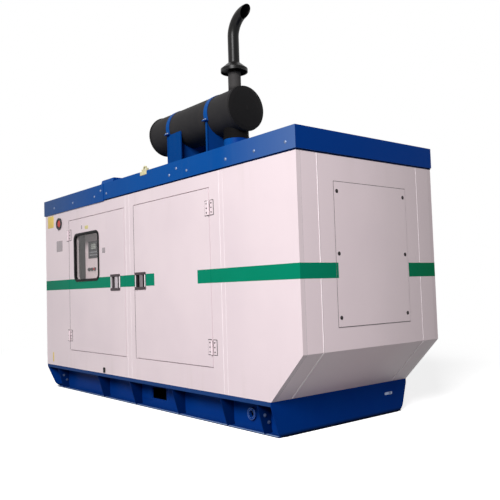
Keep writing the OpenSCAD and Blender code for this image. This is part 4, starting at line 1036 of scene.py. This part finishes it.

# ---- Paddle latches ----
# Each latch is a pressed dish of plated steel with a bowed paddle down its middle, screwed into the door
# through a raised rim. Dark bars at its top and bottom paint the shade of the dish's ends, pale strips
# down its sides paint the highlights on the dish's side walls, and a key barrel sits beside.


def dished_steel(name, colour, shade, dark):
    """Plated steel pressed into a dish: bright rim and paddle, and darker with depth into the dish as painted
    shade. Depth is measured from the door's face along Y."""
    material, tree, out = new_material(name)
    where = add(tree, "TexCoord")
    axes = add(tree, "SeparateXYZ", links={0: where.outputs["Object"]})
    outward = add(tree, "Math", links={0: axes.outputs["Y"]}, operation="ABSOLUTE")
    bloom = add(tree, "TexNoise", values={"Scale": 60.0, "Detail": 3.0},
                links={"Vector": where.outputs["Object"]})
    tone = add(tree, "MixRGB", values={1: linear(colour), 2: linear(shade)}, links={0: bloom.outputs[0]})
    depth = add(tree, "MapRange", values={"From Min": half_width - 0.004, "From Max": half_width - 0.016},
                links={"Value": outward.outputs[0]})
    dish_shaded = add(tree, "MixRGB", values={2: linear(dark)}, links={0: depth.outputs[0], 1: tone.outputs[0]})
    gloss = add(tree, "MapRange", values={"To Min": 0.3, "To Max": 0.5}, links={"Value": bloom.outputs[0]})
    skin = add(tree, "BsdfPrincipled", values={"Metallic": 0.55},
               links={"Base Color": dish_shaded.outputs[0], "Roughness": gloss.outputs[0]})
    tree.links.new(skin.outputs[0], out.inputs["Surface"])
    return material


# the latch on the control door is given a brighter plated steel than the others
dress(["control_latch"], dished_steel("bright_pressed_plated_steel", "#CDC3C8", "#A69CA1", "#5C5458"))
darker_latch_steel = dished_steel("darker_pressed_plated_steel", "#8C8287", "#6E6569", "#2B2528")
dress(["service_latch", "rear_latches"], darker_latch_steel)
# dark bars cap each latch's top and bottom, painting the shade of the dish's ends
latch_end_shade_paint = rubber("dark_painted_shade_at_latch_ends", "#3B3034", "#4C4046", rough=0.5)
BAR_W, BAR_H, RIM_W, RIM_X, KEY_X, KEY_DOWN, KEY_SUNK = 0.192, 0.024, 0.013, 0.0835, 0.053, 0.02, 0.0205
bar = slab(BAR_W, BAR_H, 0.0035, 0.006, 0.0015)
key_barrel = lathe([(0, 0), (0.009, 0), (0.009, 0.006), (0.008, 0.0075), (0.0022, 0.0075), (0.002, 0.005),
                    (0, 0.005)], 20)
latch_mid_z = (latch_low.z + latch_high.z) / 2
latch_tall = (latch_high.z - latch_low.z) / 2
# pale strips down each side of the dish paint the highlights on its side walls
rim_strip = slab(RIM_W, 2 * latch_tall - 0.050, 0.0012, 0.002, 0.0005)
rim_highlight_paint = plated("pale_painted_rim_highlight", "#FFF6F9", "#D9CFD3", 0.35)
for name, low, high, body in (("control_latch", latch_low, latch_high, "control_door"),
                              ("service_latch", service_latch_low, service_latch_high, "service_door")):
    mid = (low.x + high.x) / 2
    bar_spots = [(mid, low.y, latch_mid_z + s * (latch_tall - BAR_H / 2)) for s in (-1, 1)]
    rim_spots = [(mid + s * RIM_X, low.y, latch_mid_z) for s in (-1, 1)]
    key_at = (mid + KEY_X, KEY_SUNK - half_width, latch_mid_z - KEY_DOWN)
    make(name + "_bars", copies(faced(bar, "front"), bar_spots), body, latch_end_shade_paint)
    make(name + "_rim_highlights", copies(faced(rim_strip, "front"), rim_spots), body, rim_highlight_paint)
    make(name + "_key", faced(key_barrel, "front", key_at), body, zinc)
rear_mids = [(latch_low.x + latch_high.x) / 2, (service_latch_low.x + service_latch_high.x) / 2]
rear_spots = [(mid, -latch_low.y, latch_mid_z + s * (latch_tall - BAR_H / 2)) for mid in rear_mids
              for s in (-1, 1)]
make("rear_latch_bars", copies(faced(bar, "back"), rear_spots), "set", latch_end_shade_paint)

# ---- Hinges ----
# Each hinge leaf is held by three pan head screws and sits on a black pad a little larger than it, whose
# rim paints the shade round the leaf as a dark line; a dark strip beside each knuckle paints its shade.
# The pin is bare dark steel and shows at the top of its knuckle. The leaves are painted over.

hinge_low, hinge_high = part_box("fixed_hinges")
LEAF_W, LEAF_H, LEAF_T, KNUCKLE_R = 0.046, 0.112, 0.004, 0.009
PAD_RIM, PAD_DEPTH = 0.0050, 0.0016
hinge_zs = (hinge_low.z + LEAF_H / 2, hinge_high.z - LEAF_H / 2)
hinge_lines = ((control_left - 0.003, -1), (service_right + 0.003, 1))
hinge_y = half_width + KNUCKLE_R + 0.002
leaf_mid = KNUCKLE_R + LEAF_W / 2
pad = slab(LEAF_W + PAD_RIM, LEAF_H + 2 * PAD_RIM, PAD_DEPTH, 0.004, 0.0004, n=3)
screw = pan_screw(0.006)


def leaf_screws(x, s, facing, sign):
    """Three screws down each leaf on one side of a hinge line."""
    spots = [(x + s * leaf_mid, sign * (half_width + LEAF_T), z + dz) for z in hinge_zs
             for dz in (-0.036, 0, 0.036)]
    return copies(faced(screw, facing), spots)


def leaf_pads(x, s, facing, sign):
    """The black pad under each leaf on one side of a hinge line; its rim paints the shade round the leaf."""
    spots = [(x + s * (leaf_mid + PAD_RIM / 2), sign * half_width, z) for z in hinge_zs]
    return copies(faced(pad, facing), spots)


knuckle_shade_strip = slab(0.0050, LEAF_H - 0.004, 0.0004, 0.0010, 0.0002, n=2)


def knuckle_shade_lines(x, s, facing, sign):
    """A dark strip along the knuckle, painting its shade, on the leaf on one side of a hinge line."""
    spots = [(x + s * (KNUCKLE_R + 0.0030), sign * (half_width + LEAF_T), z) for z in hinge_zs]
    return copies(faced(knuckle_shade_strip, facing), spots)


knuckle_shade_paint = rubber("dark_painted_knuckle_shade", "#2E2829", "#4A4244", rough=0.5)
pin_end = lathe([(0, 0), (0.0046, 0), (0.0046, 0.0012), (0.003, 0.0022), (0, 0.0022)], 16)
pin_steel = plated("oiled_dark_steel", "#3E3C3B", "#232222", 0.35)
walls = [(x, s, "front", -1) for x, s in hinge_lines]
walls += [(x, s * t, "back", 1) for x, s in hinge_lines for t in (-1, 1)]
make("hinge_screws", join([leaf_screws(*place) for place in walls]), "set", black_steel)
make("hinge_shade_pads", join([leaf_pads(*place) for place in walls]), "set", frame_rubber)
make("hinge_knuckle_shade", join([knuckle_shade_lines(*place) for place in walls]), "set", knuckle_shade_paint)
pin_spots = [(line[0], s * hinge_y, z + LEAF_H / 2) for line in hinge_lines for s in (-1, 1)
             for z in hinge_zs]
make("hinge_pin_ends", copies(pin_end, pin_spots), "set", pin_steel)
for body, (x, s) in (("control_door", hinge_lines[0]), ("service_door", hinge_lines[1])):
    make(body + "_hinge_screws", leaf_screws(x, -s, "front", -1), body, black_steel)
    make(body + "_hinge_shade_pads", leaf_pads(x, -s, "front", -1), body, frame_rubber)
    make(body + "_hinge_knuckle_shade", knuckle_shade_lines(x, -s, "front", -1), body, knuckle_shade_paint)

# ---- Stop button, drain plug, earth bar and reflectors ----
# A red mushroom stop button in a black collar and plain yellow reflector patches sit on the panel by
# the control door. A rubber plug closes a drain hole low in the sill, and a short tinned earth bar is
# bolted to the base's end plate.

STOP_AT = (-1.738, -half_width, 1.842)
collar = lathe([(0, 0), (0.066, 0), (0.066, 0.0135), (0.063, 0.0165), (0.052, 0.0165), (0.0465, 0.011),
                (0.0465, 0.003), (0, 0.003)], 40)
make("stop_button_collar", faced(collar, "front", STOP_AT), "set", case_plastic)
dome = lathe([(0, 0.0025), (0.038, 0.0025), (0.040, 0.006), (0.037, 0.0095), (0.022, 0.0125), (0, 0.0134)],
             40)
make("stop_button", faced(dome, "front", STOP_AT), "set",
     rubber("moulded_red_plastic", "#D4453A", "#B83A32", rough=0.3))
reflector = vinyl("yellow_reflective_film", "#FFE284", "#F3D070")
patch = faced(slab(0.165, 0.135, 0.0006, 0.006, 0.0003), "front", (-1.984, -half_width, 1.884))
strip = faced(slab(0.030, 0.105, 0.0006, 0.004, 0.0003), "front", (-1.955, -half_width, 0.345))
make("yellow_reflectors", join([patch, strip]), "set", reflector)
plates = [((-1.745, 1.590), (0.160, 0.122)), ((-0.672, 1.476), (0.062, 0.052)),
          ((-1.170, 1.752), (0.024, 0.040))]
blanks = [faced(slab(w, h, 0.0012, 0.004, 0.0005), "front", (x, -half_width, z)) for (x, z), (w, h) in plates]
blank_steel = plated("brushed_blank_plate", "#ACA3A6", "#989094", 0.5)
make("blank_plate", blanks[0], "set", blank_steel)
make("door_blank_plates", join(blanks[1:]), "control_door", blank_steel)
tab = faced(slab(0.078, 0.036, 0.0006, 0.006, 0.0003), "front", (-1.055, -half_width, 1.742))
make("yellow_tab", tab, "control_door", vinyl("pale_yellow_film", "#EFE5AC", "#E2D48C"))
plug = faced(slab(0.040, 0.052, 0.006, 0.010, 0.002), "front", (-0.703, -half_width, 0.290))
make("drain_plug", plug, "set", frame_rubber)
plate_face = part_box("base_right_end")[1].x
EARTH_Y, EARTH_Z, EARTH_BAR, EARTH_BOLT = 0.512, 0.164, (0.092, 0.022, 0.005), 0.013
earth_bar = join([faced(slab(*EARTH_BAR, 0.006, 0.0015), "right", (plate_face, EARTH_Y, EARTH_Z)),
                  faced(hex_bolt(EARTH_BOLT), "right",
                        (plate_face + EARTH_BAR[2], EARTH_Y + 0.022, EARTH_Z))])
make("earth_bar", earth_bar, "set", plated("tinned_copper_bar", "#8D97AD", "#5A6580", 0.4))

# ---- Roof ----
# Three folded steel trays with a deep fascia cover the canopy, with a cap over the first joint. They are
# sprayed the same blue as the silencer's saddles and stand on a dark blue strip that paints the shade under
# the fascia.

roof_enamel = blown_paint("mid_blue_sprayed_enamel", "#06509F", "#1A5CAA", "#4A6E9E", rough=0.33,
                          specular=0.03, wear=0.35, grime=0.10)
# the roof is painted lighter towards the radiator end as a painted reflection, the sun has chalked it towards
# the left end, and its faces turned to the radiator end are painted a deeper blue as painted shade
tint(roof_enamel, "Object", "X", 1.3, 2.6, "#6179AA")
tint(roof_enamel, "Object", "X", -0.6, -2.8, "#4A5F84")
tint(roof_enamel, "Normal", "X", 0.35, 0.85, "#033A8C")
dress(["roof_left", "roof_middle", "roof_right", "roof_joint_cap", "silencer_straps"], roof_enamel)
saddle_enamel = blown_paint("blue_brushed_enamel", "#04458B", "#0D4E98", "#3A5C8C", rough=0.4,
                            specular=0.02, wear=0.35, grime=0.15)
# the saddles' faces turned to the radiator end are painted darker as painted shade
tint(saddle_enamel, "Normal", "X", 0.35, 0.85, "#0A3E86")
dress(["silencer_saddles"], saddle_enamel)
lug_enamel = blown_paint("faded_yellow_enamel", "#E4DCAE", "#D3C892", "#A79E78", rough=0.45)
dress(["lifting_lugs"], lug_enamel)
fascia_out = -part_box("roof_middle")[0].y
# each lug stands over a doubler plate that is welded to the fascia's face
LUG_X, DOUBLER = 0.130, (0.112, 0.034, 0.0035)
doubler = slab(*DOUBLER, 0.004, 0.001)
roof_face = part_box("roof_right")[1].z
doublers = [faced(doubler, facing, (LUG_X + 0.020, s * fascia_out, roof_face - 0.001 - DOUBLER[1] / 2))
            for s, facing in ((-1, "front"), (1, "back"))]
make("lug_doublers", join(doublers), "set", lug_enamel)
# the roof stands on a square strip a little inside its fascia
DRIP_IN, DRIP_H, DRIP_T = 0.006, 0.011, 0.004
seal_x, seal_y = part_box("roof_right")[1].x - DRIP_IN, fascia_out - DRIP_IN


def strip_round(x, y, z0, z1, t):
    """Square strip round the canopy: the rectangle at half-lengths x and y, drawn as an outer and an
    inner loop, t apart, at two heights."""
    corners = np.array([(1, 1), (-1, 1), (-1, -1), (1, -1)])
    loops = [np.column_stack([corners * (x - i, y - i), np.full(4, z)])
             for i, z in ((0, z0), (0, z1), (t, z1), (t, z0), (0, z0))]
    return loft(np.array(loops), caps=False)


make("roof_drip_edge", strip_round(seal_x, seal_y, wall_top - DRIP_H, wall_top, DRIP_T), "set",
     blown_paint("blue_enamel_in_shade", "#03173F", "#051D4C", "#101F45", rough=0.5, specular=0.02))
FASCIA_BOLT_Z, JOINT_BOLT_Z = 2.033, 2.075
# the left tray's fascia stands LEFT_OUT further out, to the left of x = LEFT_FROM
LEFT_OUT, LEFT_FROM = 0.004, -0.64
bolt_xs = [0.580, 0.844, 1.373, 1.711, 2.043, -0.574, -0.83, -1.35, -1.85]
roof_bolts = [(x, -fascia_out - (LEFT_OUT if x < LEFT_FROM else 0), FASCIA_BOLT_Z) for x in bolt_xs]
roof_bolts += [(-0.691, -fascia_out - LEFT_OUT, JOINT_BOLT_Z), (0.690, -fascia_out, JOINT_BOLT_Z)]
fascia_bolt = lathe([(0, 0), (0.012, 0), (0.012, 0.0015), (0.009, 0.0055), (0.004, 0.0075), (0, 0.0078)], 20)
make("fascia_bolts_front", copies(faced(fascia_bolt, "front"), roof_bolts), "set", dull_zinc)
rear_bolts = [(x, -y, z) for x, y, z in roof_bolts]
make("fascia_bolts_rear", copies(faced(fascia_bolt, "back"), rear_bolts), "set", dull_zinc)

# ---- Silencer and exhaust ----
# The silencer is a rolled steel can with pressed heads, strapped down on two saddles. It and the pipes
# are sprayed with matt heat-resistant black with brownish grey marks; painted light lightens the outlet
# stub on top, and painted shade darkens the faces turned to the radiator end and the riser under the can.

soot_paint = blown_paint("matt_heat_resistant_black", "#292829", "#363435", "#423D3A", rough=0.62,
                         sag=0.0016, specular=0.12)
pipe_paint = blown_paint("satin_heat_resistant_black", "#131212", "#201E1E", "#302B29", rough=0.31,
                         specular=0.20)
# the pipes' faces turned to the radiator end are painted nearly black as painted shade
tint(pipe_paint, "Normal", "X", 0.25, 0.95, "#050505")
# the riser is given a darker black as painted shade, since it stands under the can
riser_shaded_paint = blown_paint("heat_resistant_black_with_painted_shade", "#0F0E0E", "#1A1818", "#2A2624", rough=0.62,
                          specular=0.05)
# the can's faces turned to the radiator end are painted darker as painted shade, and the outlet stub above it
# lighter as painted light
tint(soot_paint, "Normal", "X", 0.5, 0.95, "#121112")
tint(soot_paint, "Object", "Z", 2.905, 2.935, "#454343")
dress(["silencer"], soot_paint)
dress(["exhaust_riser"], riser_shaded_paint)
dress(["rain_collar", "tail_pipe"], pipe_paint)
can_low, can_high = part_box("silencer")
strap_low, strap_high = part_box("silencer_straps")
CAN_Z, CAN_R = 2.699, 0.202
STRAP_HALF, EAR_Y, EAR_DOWN, EAR_BOLT, EAR_BOLT_X = 0.029, 0.214, 0.064, 0.017, 0.014
strap_xs = [strap_low.x + STRAP_HALF, strap_high.x - STRAP_HALF]
ears = [(x + dx, s * EAR_Y, CAN_Z - EAR_DOWN) for x in strap_xs for s in (-1, 1)
        for dx in (-EAR_BOLT_X, EAR_BOLT_X)]
make("strap_bolts", copies(faced(hex_bolt(EAR_BOLT), "up"), ears), "set", dull_zinc)
# a seam weld runs round the can where each head is pressed in
HEAD_IN, HEAD_R, HEAD_WELD = 0.040, 0.2065, 0.0035
head_welds = [hoop(0, (x, 0, CAN_Z), HEAD_R, HEAD_WELD) for x in (can_low.x + HEAD_IN, can_high.x - HEAD_IN)]
make("silencer_welds", join(head_welds), "set", soot_paint)
# the outlet stub's weld follows the can: its height is the can's circle at each distance from the axis
STUB_X, STUB_R, STUB_WELD = 0.56, 0.0625, 0.005
turn = np.linspace(0, 2 * np.pi, 72, endpoint=False)
stub_y = STUB_R * np.sin(turn)
stub_path = np.stack([STUB_X + STUB_R * np.cos(turn), stub_y, CAN_Z + np.sqrt(CAN_R ** 2 - stub_y ** 2)], -1)
stub_weld = tube(stub_path, STUB_WELD, 6, ref=(0, 0, 1), closed=True)
make("stub_weld", stub_weld, "set", soot_paint)
# a band round the top of the roof's sleeve, in the riser's darker black, paints the can's shadow on it
riser_low, riser_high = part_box("exhaust_riser")
sleeve_top = levels("roof_middle", 2)[-1]
SHADOW_BAND_H, SHADOW_BAND_LAP, SHADOW_BAND_T, SHADOW_BAND_OFF = 0.028, 0.0265, 0.0030, 0.0004
inner, outer = riser_high.y + SHADOW_BAND_OFF, riser_high.y + SHADOW_BAND_T
band = lathe([(inner, 0), (outer, 0.002), (outer, SHADOW_BAND_H - 0.002), (inner, SHADOW_BAND_H)], 40)
band_at = [((riser_low.x + riser_high.x) / 2, 0, sleeve_top - SHADOW_BAND_LAP)]
make("riser_sleeve_shadow_band", copies(band, band_at), "set", riser_shaded_paint)
